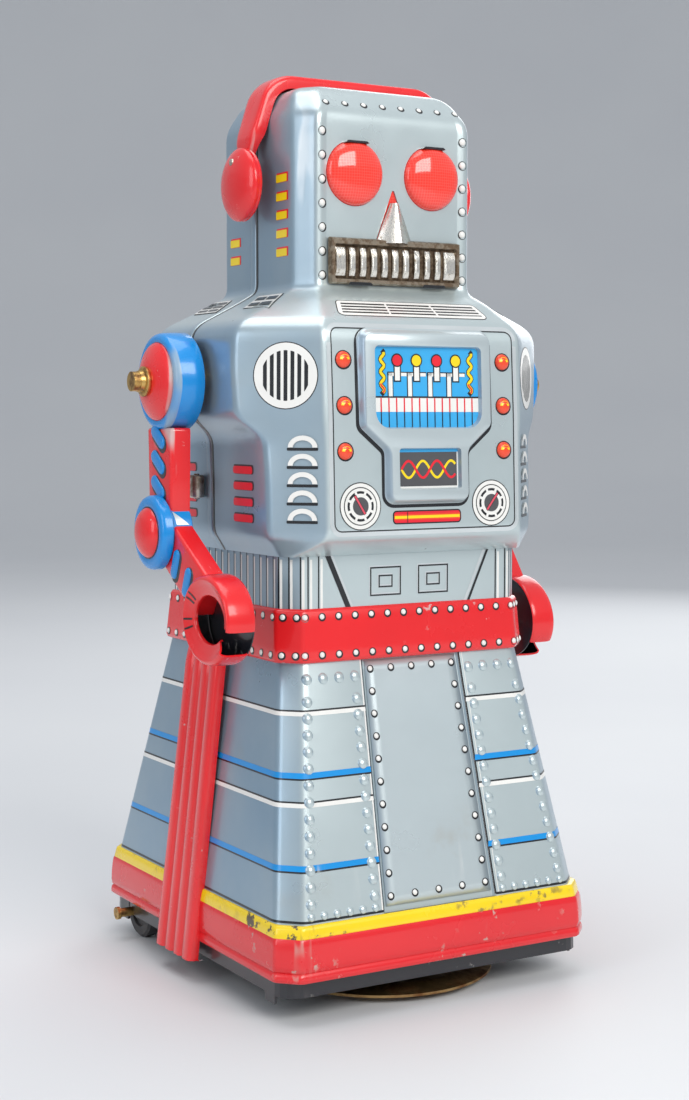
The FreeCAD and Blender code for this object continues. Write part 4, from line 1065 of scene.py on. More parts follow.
def back_panel(sheet):
    """Plain printed back: an outlined field with a row of slots and rivets."""
    panel = box_outline(-27, 27, 146, 197, 4.0, 5)
    sheet.border("black", panel, 0.2, 0.25, 0.06)
    sheet.border("light", panel, -0.7, 1.6, 0.06)
    for k in range(5):
        z = 184.0 - 5.6 * k
        sheet.patch("black", box_outline(-14.3, 14.5, z - 1.5, z + 1.3, 1.2), lift=0.06)
        sheet.patch("shade", box_outline(-14.0, 14.0, z - 1.1, z + 1.1, 1.0), lift=0.09)
    for side in (-1, 1):
        sheet.rivets([(side * 22.5, z) for z in (150.5, 192.5)])
        sheet.rivets([(side * 22.8, 261.0 - 7.2 * k) for k in range(7)])


# ---- face and headset ---------------------------------------------------------------------


def build_eyes():
    """Domes of one clear red sheet, seen through the eye and nose openings, and black bars of
    painted shadow under the eyes' flat tops.
    """
    x, middle, radius = EYES
    top = middle + EYE_FLAT
    chord = math.sqrt(radius ** 2 - EYE_FLAT ** 2)
    rings, steps = 9, 48
    film, lid_shadows = [], []
    for side in (-1, 1):
        verts = []
        for r in range(rings + 1):
            tilt = math.radians(90.0 * r / rings)
            y = -33.7 - 4.3 * math.sin(tilt) ** 0.8
            verts += [(px, y, min(pz, top - 0.1))
                      for px, pz in circle(side * x, middle, 9.75 * math.cos(tilt), steps)]
        film.append((verts, grid_faces(rings + 1, steps, True)))
        # Black bar under each opening's flat top: painted shadow of that flat edge on the red dome.
        lid_shadow = [(side * x + chord * share, top + rise)
               for share, rise in ((-1.0, -0.1), (1.0, -0.1), (0.8, 0.5), (-0.8, 0.5))]
        lid_shadows.append(bar_between(lid_shadow, -34.0, -36.2))
    back = [(px, -33.6, pz) for px, pz in (
        (-25.5, 236.0), (25.5, 236.0), (25.5, 262.0), (-25.5, 262.0), (0.0, 230.0), (-7.0, 230.0),
                                           (7.0, 230.0))]
    film.append((back, [(0, 5, 4, 6, 1, 2, 3)]))
    make_piece("eye_film", *join(*film), "robot", "red_lens", [LENS], ("face_lens",), angle=60.0)
    make_piece("eye_lid_shadows", *join(*lid_shadows), "robot", "blue_grey_tin", [BLACK])


MOUTH = (23.4, 216.3, 230.4, -34.9)       # half width, bottom, top, y of the face
NOSE = (5.9, 230.4, 241.5)                # half width at its foot, bottom, top


def build_mouth():
    """Ribbed grille in a folded frame, with the ridged nose standing on it."""
    half, z0, z1, y = MOUTH
    edge = half - 1.5                     # half width inside the frame
    outer = box_outline(-half, half, z0, z1, 0.6, 3)
    inner = box_outline(-edge, edge, z0 + 1.5, z1 - 2.0, 0.5, 3)
    frame_part = raised_plate(outer, y, 1.7, 0.5, 3, (inner,))
    wall = ring_wall(inner, y - 1.7, y - 0.3, 0.5)
    verts = []
    columns, rows = 240, 10
    for r in range(rows + 1):
        z = z0 + 1.5 + (z1 - z0 - 3.5) * r / rows
        fade = min(1.0, 4.0 * min(r, rows - r) / rows)
        for c in range(columns + 1):
            x = -edge + 2 * edge * c / columns
            verts.append((x, y - 0.2 - 1.35 * rib(abs(x), edge) * (0.15 + 0.85 * fade), z))
    ribs = (verts, grid_faces(rows + 1, columns + 1))
    heights = [rib(abs(-edge + 2 * edge * (c + 0.5) / columns), edge) for c in range(columns)]
    # Faces low between the ribs, and the top and bottom rows, take the darker gap metal.
    rib_slots = [0 if heights[c] > 0.42 and 0 < r < rows - 1 else 1 for r in range(rows)
                 for c in range(columns)]
    n_half, n0, n1 = NOSE
    nose_rows = []
    for k in range(11):
        t = k / 10
        z = n0 - 1.2 + (n1 - n0 + 1.2) * t
        w = n_half * (246.4 - z) / 16.0 * (1.0 - 0.25 * t ** 3)
        ridge = 4.2 * (1 - t) + 1.3 * t
        nose_rows += [(-w, y + 0.3, z), (-w * 0.96, y - 0.3, z), (-0.6, y - ridge, z),
                      (0.0, y - ridge - 0.15, z),
                      (0.6, y - ridge, z), (w * 0.96, y - 0.3, z), (w, y + 0.3, z)]
    nose = (nose_rows, grid_faces(11, 7) + [tuple(range(70, 77))])
    slots = [2] * (len(frame_part[1]) + len(wall[1])) + rib_slots + [0] * len(nose[1])
    make_piece("mouth_grille", *join(frame_part, wall, ribs, nose), "robot", "bare_metal",
               [MOUTH_METAL, MOUTH_GAP, MOUTH_FRAME], ("mouth_plate",), slots, angle=40.0)
    art = Sheet()
    art.frame((0, y - 1.72, 0), ACROSS, UP)
    for x in (-13.0, 13.5):
        art.patch("black", rounded_line([(x - 4.6, z0 - 0.15), (x + 4.6, z0 - 0.15),
                                         (x + 3.6, z0 + 0.75),
                                         (x - 3.6, z0 + 0.75)], 0.3, 2, True), lift=0.03)
    art.piece("mouth_tab_slots", "robot", "bare_metal")


def rib(x, half):
    """Height 0 to 1 of the grille's vertical ribs: nine narrow ones and a broad one at each end."""
    end = half - 4.6
    if x > end:
        return min(1.0, (x - end) / 0.9) * min(1.0, (half - x) / 0.5)
    pitch = 2 * end / 9
    wave = 0.5 + 0.5 * math.cos(2 * math.pi * x / pitch)
    return min(1.0, max(0.0, (wave - 0.28) / 0.5)) ** 0.8


def build_headband():
    """Folded strap that goes over the head and narrows behind each ear cap."""
    line = rounded_line([(-36.9, 239.0), (-37.0, 251.0), (-36.9, 262.0), (-31.0, 280.9),
                         (28.5, 280.9),
                         (36.9, 262.0), (37.0, 251.0), (36.9, 239.0)], [0, 9, 12, 11, 11, 12, 9, 0],
                         8)
    line = split_line(line, 2.0)
    verts = []
    profile = ((-1.0, -3.3), (-1.0, -1.2), (-0.98, -0.1), (-0.88, 0.55), (-0.68, 0.85),
               (-0.25, 0.95), (0.25, 0.95),
               (0.68, 0.85), (0.88, 0.55), (0.98, -0.1), (1.0, -1.2), (1.0, -3.3))
    for i, (x, z) in enumerate(line):
        a, b = Vector(line[max(0, i - 1)]), Vector(line[min(len(line) - 1, i + 1)])
        along = (b - a).normalized()
        out = Vector((-along.y, along.x))
        neck = min(1.0, max(0.0, (z - 252.0) / 13.0))
        neck = neck * neck * (3 - 2 * neck)
        half = 3.6 + (6.0 - 3.6) * neck
        centre = -7.0 + 1.6 * (1 - neck) * (1 if z > 250 else 0.6)
        dent = 0.5 * math.exp(-((abs(x) - 33.5) / 2.5) ** 2) * (1 if z > 262 else 0)
        for u, d in profile:
            lift = (d - 0.1 - dent * (1 - u * u)) * (0.25 + 0.75 * neck)
            verts.append((x + out.x * lift, centre + u * half, z + out.y * lift))
    obj = make_piece("headset_strap", verts, grid_faces(len(line), len(profile)), "robot",
                     "red_tin", [RED], ("headband",), angle=50.0)
    give_wall(obj, 0.4, 45.0)


def build_ear_caps():
    profile = [(37.2, 0.4), (37.2, 10.2), (37.7, 10.9), (38.5, 11.2), (39.3, 11.1), (40.2, 10.2),
               (41.2, 8.5), (41.9, 6.6), (42.4, 4.4), (42.7, 2.2), (42.8, 0.1)]
    for side, name in ((-1, "right"), (1, "left")):
        verts, faces = lathe(smooth_line(profile, 3), 64)
        verts = shifted(verts, (0, EAR[0], EAR[1]))
        backing = lathe([(36.3, 0.3), (36.3, 10.6), (36.9, 10.7), (36.9, 0.3)], 48)
        verts, faces = join((verts, faces), (shifted(backing[0], (0, EAR[0] + 0.6, EAR[1] + 0.2)),
                                             backing[1]))
        rivet = lathe([(42.0, 1.2), (42.55, 1.1), (42.75, 0.6), (42.8, 0.1)], 20)
        verts = verts if side > 0 else mirrored(verts)
        make_piece("ear_cap_" + name + "_dome", verts, faces, "robot", "red_tin", [RED],
                   ("ear_cap_" + name,), angle=48.0)
        eyelet = shifted(rivet[0], (-0.45, EAR[0] - 0.2, EAR[1] + 6.6))
        make_piece("ear_rivet_" + name, eyelet if side > 0 else mirrored(eyelet), rivet[1], "robot",
                   "bare_metal", [CLIP_METAL])


def smooth_line(points, steps=3):
    """Catmull-Rom points through a 2D profile."""
    result = []
    for i in range(len(points) - 1):
        p0, p1, p2, p3 = (Vector(points[min(max(j, 0), len(points) - 1)])
                          for j in (i - 1, i, i + 1, i + 2))
        for k in range(steps):
            t = k / steps
            v = (2 * p1 + (p2 - p0) * t + (2 * p0 - 5 * p1 + 4 * p2 - p3) * t * t
                 + (3 * p1 - p0 - 3 * p2 + p3) * t ** 3) / 2
            result.append(tuple(v))
    result.append(tuple(points[-1]))
    return result


# ---- waist, belt, skirt and base ----------------------------------------------------------


def cut_corner_ring(half, front, rear, cut, soft, z):
    corners = [(half, front + cut), (half, rear - cut), (half - cut, rear), (-half + cut, rear),
               (-half, rear - cut), (-half, front + cut), (-half + cut, front), (half - cut, front)]
    return [(x, y, z) for x, y in rounded_line(corners, soft, 4, True)]


def ring_stack(levels, cut, soft):
    """Closed band from (z, half width, front y, rear y) levels."""
    verts = []
    for z, half, front, rear in levels:
        verts += cut_corner_ring(half, front, rear, cut, soft, z)
    return verts, grid_faces(len(levels), len(verts) // len(levels), True)


def band_piece(name, levels, cut, soft, wall, slot, material, nodes, angle=40.0):
    verts, faces = ring_stack(levels, cut, soft)
    obj = make_piece(name, verts, faces, "robot", slot, [material], nodes, angle=angle)
    give_wall(obj, wall, angle)
    return obj


def band_levels(profile, base, slope):
    """Levels from (z, bulge) points on a band that narrows upwards."""
    z0, half, front, rear = base
    d_half, d_front, d_rear = slope
    return [(z, half + d_half * (z - z0) + b, front + d_front * (z - z0) - b, rear
             + d_rear * (z - z0) + b)
            for z, b in profile]


def build_waist():
    levels = [(z, 43.0, -44.0, 39.9) for z in (104.5, 112.0, 120.0, 128.0, 135.6)]
    obj = band_piece("waist_tin", levels, 6.0, 3.0, 0.5, "blue_grey_tin", TIN_TONE, ("waist_band",))
    sheet = Sheet(obj)
    z0, z1 = 118.6, 135.2
    middle, rise = (z0 + z1) / 2, (z1 - z0) / 2
    for side in (-1, 1):
        sheet.frame((side * 43, 0, middle), (0, side, 0), UP)
        for k in range(17):
            rib_line(sheet, side * (-36.0 + k * 4.3), rise)
        turn = Vector((0.707, 0.707 * side, 0))
        sheet.frame((side * 40.0, -41.0, middle), turn, UP)
        for x in (-3.2, 0.4, 3.6):
            rib_line(sheet, x * side, rise)
    sheet.frame((0, -44, middle), ACROSS, UP)
    for side in (-1, 1):
        for x in (35.6, 32.0):
            rib_line(sheet, side * x, rise, 1.0)
        slant = [(side * 29.0, rise), (side * 21.5, -rise)]
        sheet.patch("light", stroke([(x - side * 1.3, z) for x, z in slant], 1.0), lift=0.05)
        sheet.patch("black", stroke(slant, 1.7 if side < 0 else 0.8), lift=0.08)
        nested_boxes(sheet, side * 8.6, -0.4)
    sheet.frame((0, 40, middle), ACROSS_BACK, UP)
    for k in range(17):
        rib_line(sheet, -34.4 + 4.3 * k, rise)
    sheet.piece("waist_print", "robot")


def rib_line(sheet, x, rise, gap=0.75):
    sheet.patch("white", box_outline(x - 0.4 + gap, x + 0.4 + gap, -rise, rise - 1.2), lift=0.05)
    sheet.patch("black", box_outline(x - 0.22, x + 0.22, -rise, rise), lift=0.07)


def nested_boxes(sheet, x, z):
    """Two plain rectangles, one in the other, with a light edge like the rest of the printing."""
    for half, rise in ((5.3, 4.2), (2.3, 1.7)):
        box = box_outline(x - half, x + half, z - rise, z + rise)
        light = box_outline(x - half - 0.3, x + half - 0.3, z - rise + 0.35, z + rise + 0.35)
        sheet.border("light", light, 0.3, 0.35, 0.05, math.inf)
        sheet.border("black", box, 0.22, 0.25, 0.07, math.inf)


BELT_BASE = (103.2, 44.6, -46.1, 42.9)    # z, half width, front y, rear y
BELT_SLOPE = (-0.055, 0.098, -0.152)      # what the last three gain for each mm of height


def build_belt():
    profile = [(103.3, -1.9), (103.1, -0.9), (103.5, -0.1), (104.6, 0.3), (108.0, 0.3),
               (115.0, 0.3), (118.2, 0.3), (119.1, -0.1), (119.4, -0.9), (119.3, -1.9)]
    levels = band_levels(profile, BELT_BASE, BELT_SLOPE)
    obj = band_piece("belt_tin_band", levels, 6.2, 2.6, 0.5, "belt_tin", RED, ("belt",), 50.0)
    sheet = Sheet(obj)
    for z in (105.6, 116.9):
        half = BELT_BASE[1] + BELT_SLOPE[0] * (z - BELT_BASE[0]) - 6.6
        for y, along in ((-46, ACROSS), (44, ACROSS_BACK)):
            sheet.frame((0, y, z), along, UP)
            sheet.rivets([(-half + k * 2 * half / 13, 0) for k in range(14)], 0.85)
        for side in (-1, 1):
            sheet.frame((side * 44.5, -1.5, z), (0, side, 0), UP)
            sheet.rivets([(-36.0 + k * 6.0, 0) for k in range(13)], 0.85)
            sheet.frame((side * 41.6, -43.2, z), (0.707, side * 0.707, 0), UP)
            sheet.rivets([(-1.9 * side, 0), (2.4 * side, 0)], 0.85)
    sheet.piece("belt_print", "robot", "belt_tin")


SKIRT_LOW = (29.3, 53.7, -62.6)       # z, half width, front y; the rear mirrors it about y = 0
SKIRT_TOP = (103.9, 43.0, -44.6)
SKIRT_REAR_TOP = 41.4
SKIRT_SEAM = 2.5
SKIRT_MIDDLE = 66.0                   # height that the skirt's printing is measured from
HATCH_HALF = (19.4, 16.8)             # at the bottom and the top


def skirt_share(z):
    return (z - SKIRT_LOW[0]) / (SKIRT_TOP[0] - SKIRT_LOW[0])


def lerp(pair, t):
    return pair[0] + (pair[1] - pair[0]) * t


def skirt_row(z, rear):
    """Outline of one skirt half at a height, from seam to seam."""
    t = skirt_share(z)
    half, front = lerp((SKIRT_LOW[1], SKIRT_TOP[1]), t), lerp((SKIRT_LOW[2], SKIRT_TOP[2]), t)
    if rear:
        front = lerp((SKIRT_LOW[2], -SKIRT_REAR_TOP), t)
    hatch = hatch_half(z)
    cut = 6.6 - 1.0 * t
    seam = SKIRT_SEAM if not rear else -SKIRT_SEAM + 0.6
    sink = 0.0 if rear else 1.0
    right = [(half, seam), (half, front + cut), (half - cut, front), (hatch + 1.0, front),
             (hatch, front + sink)]
    points = right + [(-x, y) for x, y in reversed(right)]
    line = rounded_line(points, [0.0, 4.5, 4.5, 0.6, 0.4, 0.4, 0.6, 4.5, 4.5, 0.0], 4)
    flip = -1 if rear else 1
    return [(flip * x, flip * y, z) for x, y in line]


def build_skirt():
    levels = 27
    heights = [lerp((SKIRT_LOW[0], SKIRT_TOP[0]), k / (levels - 1)) for k in range(levels)]
    shells = []
    for name, rear in (("front_skirt", False), ("rear_skirt", True)):
        verts = [p for z in heights for p in skirt_row(z, rear)]
        obj = make_piece(name + "_tin", verts, grid_faces(levels, len(verts) // levels), "robot",
                         "blue_grey_tin", [TIN_TONE], (name,))
        give_wall(obj, 0.5, 32.0)
        shells.append(obj)
    build_hatch()
    print_skirt(*shells)


def hatch_half(z):
    return lerp(HATCH_HALF, skirt_share(z))


def hatch_point(u, z, lift):
    """Point on the hatch: u runs -1 to 1 across it."""
    y = lerp((SKIRT_LOW[2], SKIRT_TOP[2]), skirt_share(z)) + 1.0
    return (u * (hatch_half(z) - 0.5), y - lift, z)


def build_hatch():
    rows, columns = 24, 10
    verts = []
    for r in range(rows + 1):
        z = lerp((31.2, 102.6), r / rows)
        bulge = 0.45 + 0.10 * math.sin(math.pi * r / rows)
        verts += [hatch_point(-1 + 2 * c / columns, z, bulge) for c in range(columns + 1)]
    obj = make_piece("hatch_panel_tin", verts, grid_faces(rows + 1, columns + 1), "robot",
                     "blue_grey_tin", [HATCH_TONE], ("hatch_panel",))
    thicken(obj, 0.35)
    bake_modifiers(obj)
    sheet = Sheet(obj)
    sheet.frame((0, -54, SKIRT_MIDDLE), ACROSS, UP)
    places = [(share, z) for z in (34.0, 100.2) for share in (-1.0, -0.5, 0.0, 0.5, 1.0)]
    places += [(side, 34.0 + k * 6.62) for k in range(1, 10) for side in (-1, 1)]
    sheet.rivets([(share * (hatch_half(z) - 2.2), z - SKIRT_MIDDLE) for share, z in places], 0.8)
    sheet.piece("hatch_print", "robot")


def border_span(z):
    """Inner and outer line of the embossed border beside the hatch."""
    return hatch_half(z) + 3.6, lerp((45.0, 36.5), skirt_share(z))


def print_skirt(front, rear):
    """Embossed bumps and printed lines in front; lines, the key's hole and rivets behind."""
    sheet = Sheet(front)
    sheet.frame((0, -54, SKIRT_MIDDLE), ACROSS, UP)
    for side in (-1, 1):
        bumps = [(x, z, 1.75, 1.0, 14) for z in (92.0 - k * 4.75 for k in range(13))
                 for x in border_span(z)]
        bumps += [(lerp(border_span(98.5), k / 3), 98.5, 1.75, 1.0, 14) for k in range(4)]
        bumps += [(lerp(border_span(31.6), k / 5), 31.6, 1.35, 0.8, 12) for k in range(6)]
        for x, z, radius, height, steps in bumps:
            sheet.dome("bump", side * x, z - SKIRT_MIDDLE, radius, height, -0.15, steps=steps)
        edge = [(side * (hatch_half(z) + 1.3), z - SKIRT_MIDDLE) for z in (30.0, 103.0)]
        sheet.patch("black", stroke([(x - side * 0.5, z) for x, z in edge], 0.5), lift=0.05)
        sheet.patch("white", stroke(edge, 1.3 if side > 0 else 0.5), lift=0.05)
    skirt_lines(sheet, front=True)
    sheet.piece("front_skirt_print", "robot")
    back = Sheet(rear)
    skirt_lines(back, front=False)
    back.frame((54, 27, 56), (0, 1, 0), UP)
    back.patch("black", circle(0, 0, 6.6, 32), [circle(0, 0, 5.9, 32)[::-1]], lift=0.06)
    back.patch("black", circle(0, 0, 4.2, 32), lift=0.08)
    back.frame((0, 54, SKIRT_MIDDLE), ACROSS_BACK, UP)
    heights = [34.0 + k * 6.62 for k in range(11)]
    for side in (-1, 1):
        back.rivets([(side * (hatch_half(z) + 3.6), z - SKIRT_MIDDLE) for z in heights])
    back.piece("rear_skirt_print", "robot")


SKIRT_LINES = ((88.6, "white"), (71.0, "blue"), (62.6, "white"), (45.0, "blue"))


def skirt_lines(sheet, front):
    """Printed rings: white ones under a black line and blue ones over a black line, then a black
    ring of painted shadow along the skirt's bottom edge.
    """
    for z, color in SKIRT_LINES:
        row = skirt_row(z, not front)
        thick = 1.25 if color == "white" else 1.7
        dark = z + thick / 2 + 0.25 if color == "white" else z - thick / 2 - 0.2
        for tone, level, width, lift in ((color, z, thick, 0.06), ("black", dark, 0.5, 0.08)):
            ribbon(sheet, row, level, width, tone, lift, front)
    # Black ring just above the skirt's bottom edge: painted shadow along that edge.
    ribbon(sheet, skirt_row(30.3, not front), 30.2, 0.7, "black", 0.06, front)


def ribbon(sheet, row, z, width, tone, lift, front):
    """Thin inked strip that follows the skirt's outline at one height: print, or painted shadow at
    the bottom edge.
    """
    gap = hatch_half(z) + 0.9
    runs, run = [], []
    for p, q in zip(row, row[1:]):
        n = max(1, int(math.dist(p, q) / 2.0))
        for k in range(n):
            point = Vector(p).lerp(Vector(q), k / n)
            if front and abs(point.x) < gap and point.y < -20:
                if run:
                    runs.append(run)
                run = []
            else:
                run.append(point)
    runs.append(run + [Vector(row[-1])])
    for points in runs:
        base = len(sheet.verts)
        for i, point in enumerate(points):
            a, b = points[max(0, i - 1)], points[min(len(points) - 1, i + 1)]
            along = (b - a).normalized()
            out = Vector((along.y, -along.x, 0))
            if out.dot(Vector((point.x, point.y, 0))) < 0:
                out.negate()
            sheet.n = out
            for dz in (-width / 2, width / 2):
                spot = Vector((point.x, point.y, z + dz))
                hit = sheet.tree.ray_cast((spot + out * 8) * MM, -out, 0.03)
                sheet.verts.append((hit[0] / MM if hit[0] is not None else spot) + out * lift)
        for i in range(len(points) - 1):
            c = base + 2 * i
            sheet.faces.append((c, c + 2, c + 3, c + 1))
            sheet.slots.append(INK_ORDER.index(tone))


def build_base():
    """Red rim, its yellow top edge and the black pan, from (z, half width) profiles."""
    rim = [(13.3, 54.9), (13.15, 55.5), (13.6, 55.85), (14.6, 55.85), (15.5, 55.65), (16.0, 55.25),
           (16.5, 55.6), (18.0, 55.75), (21.0, 55.65), (24.0, 55.4), (25.2, 55.2), (25.9, 54.9)]
    band_piece("rim_tin_band", [(z, h, -(h + 9.5), h + 9.5) for z, h in rim], 5.9, 2.2, 0.5,
               "rim_tin", RIM_RED, ("base_rim",), 50.0)
    edge = [(25.85, 55.0), (26.3, 55.0), (28.2, 54.6), (29.2, 54.3), (29.5, 53.8), (29.4, 53.2)]
    band_piece("rim_yellow_edge", [(z, h, -(h + 9.2), h + 9.2) for z, h in edge], 5.9, 2.4, 0.4,
               "rim_tin", RIM_YELLOW, (), 50.0)
    pan = [(27.0, 53.1, 61.4), (14.0, 53.3, 61.7), (8.4, 53.5, 61.8), (8.05, 53.3, 61.6),
           (8.1, 52.9, 61.2)]
    band_piece("pan_wall", [(z, h, -d, d) for z, h, d in pan], 5.6, 2.0, 0.5, "black_tin", BLACK,
               (), 50.0)


STRIP = ((98.5, 48.9), (7.2, 59.5))       # (z, x) at the top and the bottom
STRIP_Y = (-10.0, 15.0)


def build_strips():
    """Fluted red strips down both sides, folded in along their edges."""
    half = (STRIP_Y[1] - STRIP_Y[0]) / 2
    middle = (STRIP_Y[1] + STRIP_Y[0]) / 2
    fold = [(-half, -3.4), (-half, -1.2), (-half + 0.5, -0.35), (-half + 1.4, 0.0)]
    flute = ((-1.5, 0.0), (-0.85, -0.35), (-0.35, -0.95), (0.0, -1.1), (0.35, -0.95), (0.85, -0.35),
             (1.5, 0.0))
    across = fold + [(groove + u, d) for groove in (-6.2, 0.0, 6.2) for u, d in flute]
    across += [(-u, d) for u, d in reversed(fold)]
    (z1, x1), (z0, x0) = STRIP
    stations = [(z1 + 5.0, x1 - 1.2)] + [(z1 + (z0 - z1) * k / 22, x1 + (x0 - x1) * k / 22)
                                         for k in range(23)]
    stations += [(z0 - 0.15, x0 - 0.7), (z0 - 0.1, x0 - 1.6)]
    for side, name in ((-1, "right"), (1, "left")):
        verts = []
        for z, x in stations:
            flare = 0.92 + 0.08 * (z1 - z) / (z1 - z0)
            verts += [(side * (x + d), middle + u * min(1.0, flare), z) for u, d in across]
        obj = make_piece("fluted_strip_" + name, verts, grid_faces(len(stations), len(across)),
                         "robot", "red_tin", [RED], ("side_strip_" + name,), angle=50.0)
        give_wall(obj, 0.4, 50.0)


# ---- arms ---------------------------------------------------------------------------------


def slab(outline, x0, x1, soft=1.0, steps=3):
    """Solid from a (y, z) outline, between x0 and x1, with a rolled outer edge."""
    loops = [(x0, 0.0)]
    for k in range(steps + 1):
        roll = math.radians(90 * k / steps)
        loops.append((x1 - soft + soft * math.sin(roll), soft * (1 - math.cos(roll))))
    verts = []
    for x, shrink in loops:
        verts += [(x, y, z) for y, z in (inset(outline, shrink) if shrink else outline)]
    top = len(verts) - len(outline)
    faces = grid_faces(len(loops), len(outline), True)
    outer, inner = (geometry.tessellate_polygon([planar(loop)])
                    for loop in (inset(outline, soft), outline))
    faces += [tuple(top + i for i in tri) for tri in outer]
    faces += [tuple(reversed(tri)) for tri in inner]
    return verts, faces


def limb_outline(start, end, wide_a, wide_b, trim_a=0.0, trim_b=0.0, radius=2.0):
    a, b = Vector(start), Vector(end)
    along = (b - a).normalized()
    side = Vector((-along.y, along.x))
    a, b = a + along * trim_a, b - along * trim_b
    wide_a, wide_b = side * wide_a / 2, side * wide_b / 2
    corners = [a - wide_a, b - wide_b, b + wide_b, a + wide_a]
    outline = rounded_line([tuple(c) for c in corners], radius, 4, True)
    area = sum(p[0] * q[1] - q[0] * p[1] for p, q in zip(outline, outline[1:] + outline[:1]))
    return outline if area > 0 else outline[::-1]


def slot_shape(y, z, length, width, aim):
    half = length / 2 - width / 2
    c, s = math.cos(math.radians(aim)), math.sin(math.radians(aim))
    line = circle(half, 0, width / 2, 7, -90, 90) + circle(-half, 0, width / 2, 7, 90, 270)
    return [(y + px * c - pz * s, z + px * s + pz * c) for px, pz in line]


def arm_place(verts, side):
    """Arms are drawn at the robot's left, hanging like the right one."""
    return mirrored(verts) if side < 0 else swung(verts, LEFT_ARM_TURN)


def arm_piece(name, part, side, slot, materials, nodes=(), angle=40.0, face_slots=None):
    body = "right_arm" if side < 0 else "left_arm"
    return make_piece(name, arm_place(part[0], side), part[1], body, slot, materials, nodes,
                      face_slots, angle=angle)


def turned(profile, centre, steps=56):
    verts, faces = lathe(profile, steps)
    return shifted(verts, (0, centre[0], centre[1])), faces


WRIST = (-31.0, 124.8)
WRIST_DOT = (-25.8, 121.4)


# piece, the CAD node it replaces, centre, steps round, slot, material, (x, radius) profile
ARM_TURNINGS = (
    ("shoulder_ring_tin_", "shoulder_ring_", SHOULDER, 72, "blue_tin", BLUE,
     [(57.2, 13.2), (57.2, 14.5), (57.8, 15.0), (60.5, 15.0), (65.2, 14.7), (66.2, 14.2),
      (66.7, 13.3), (66.7, 12.2), (66.4, 11.7), (65.8, 11.4)]),
    ("shoulder_shadow_", None, SHOULDER, 60, "black_tin", BLACK,
     [(66.0, 12.5), (66.55, 12.3), (66.6, 11.6)]),
    ("shoulder_cone_tin_", "shoulder_cone_", SHOULDER, 64, "red_tin", RED,
     smooth_line([(66.2, 11.9), (66.8, 11.8), (67.6, 11.0), (68.6, 9.2), (69.5, 6.9), (70.1, 4.7),
                  (70.15, 3.0)])),
    ("arm_bush_", "arm_nut_", SHOULDER, 40, "brass", BRASS,
     [(70.0, 3.2), (70.05, 4.3), (70.5, 4.6), (71.2, 4.6), (71.5, 4.2), (71.6, 3.4), (72.9, 3.2),
      (73.0, 2.9), (73.0, 2.2)]),
    ("arm_stub_", None, SHOULDER, 36, "brass", BRASS,
     [(72.0, 2.75), (74.4, 2.7), (74.85, 2.4), (75.0, 1.6), (74.8, 0.1)]),
    ("elbow_ring_tin_", "elbow_ring_", ELBOW, 60, "blue_tin", BLUE,
     [(65.9, 8.0), (65.9, 10.9), (66.5, 11.5), (68.6, 11.4), (69.5, 10.9), (69.9, 10.1),
      (70.0, 8.6), (69.8, 7.9), (69.4, 7.6)]),
    ("elbow_shadow_", None, ELBOW, 48, "black_tin", BLACK,
     [(69.2, 8.1), (69.95, 8.0), (70.0, 7.5)]),
    ("elbow_dome_tin_", "elbow_dome_", ELBOW, 48, "red_tin", RED,
     smooth_line([(69.6, 7.7), (70.2, 7.6), (71.3, 6.6), (72.2, 4.9), (72.8, 2.6), (73.0, 0.1)])),
    ("elbow_hub_", None, ELBOW, 60, "blue_tin", BLUE,
     [(59.2, 7.0), (59.2, 9.9), (59.6, 10.4), (65.6, 10.4), (66.0, 9.9), (66.0, 7.0)]),
)


def build_arm(side):
    tag = "right" if side < 0 else "left"
    upper = limb_outline((-5.0, 173.0), ELBOW, 17.4, 15.6, 0.0, 2.0, 1.0)
    fore = limb_outline(ELBOW, WRIST, 14.6, 15.0, 2.0, -2.5, 1.2)
    arm_piece("arm_shell_" + tag, join(slab(upper, 59.4, 65.9, 1.1), slab(fore, 59.8, 66.0, 1.1)),
              side, "arm_tin", [RED], ("arm_outer_" + tag, "arm_inner_" + tag))
    build_arm_slots(side, tag)
    for name, node, centre, steps, slot, material, profile in ARM_TURNINGS:
        arm_piece(name + tag, turned(profile, centre, steps), side, slot, [material],
                  (node + tag,) if node else ())
    glint = []
    for k in range(9):
        a = math.radians(141.0 + 3.0 * k)
        for x in (65.2 - 4.6 * k / 8, 65.4 - 0.6 * k / 8):
            glint.append((x, ELBOW[0] + 10.5 * math.cos(a), ELBOW[1] + 10.5 * math.sin(a)))
    arm_piece("elbow_glint_" + tag, (glint, grid_faces(9, 2)), side, "bare_metal", [INKS["light"]])
    build_claw(side, tag)


def build_arm_slots(side, tag):
    """Raised blue slots, three above and two below the elbow, each on a black shadow."""
    slots, edges = [], []
    for k in range(3):
        y, z = -5.0 + 0.2 * k, 170.2 - 7.7 * k
        slots.append(slab(slot_shape(y, z, 10.2, 4.2, 34.0), 65.6, 66.75, 0.9, 4))
        edges.append(slab(slot_shape(y - 0.3, z - 0.7, 11.2, 5.4, 34.0), 65.5, 66.1, 0.1, 1))
    aim = (Vector(WRIST) - Vector(ELBOW)).normalized()
    for k in range(2):
        y, z = Vector(ELBOW) + aim * (14.6 + 9.2 * k) + Vector((0.6, -1.3))
        slots.append(slab(slot_shape(y, z, 9.6, 3.9, 112.0), 65.6, 66.75, 0.9, 4))
        edges.append(slab(slot_shape(y - 0.6, z - 0.5, 10.8, 5.1, 112.0), 65.5, 66.1, 0.1, 1))
    arm_piece("arm_slots_" + tag, join(*slots), side, "blue_tin", [BLUE])
    arm_piece("arm_slot_lines_" + tag, join(*edges), side, "black_tin", [BLACK])


CLAW_OPEN = (190.0, 226.0)        # angles of the upper and lower jaw tips round the claw's centre


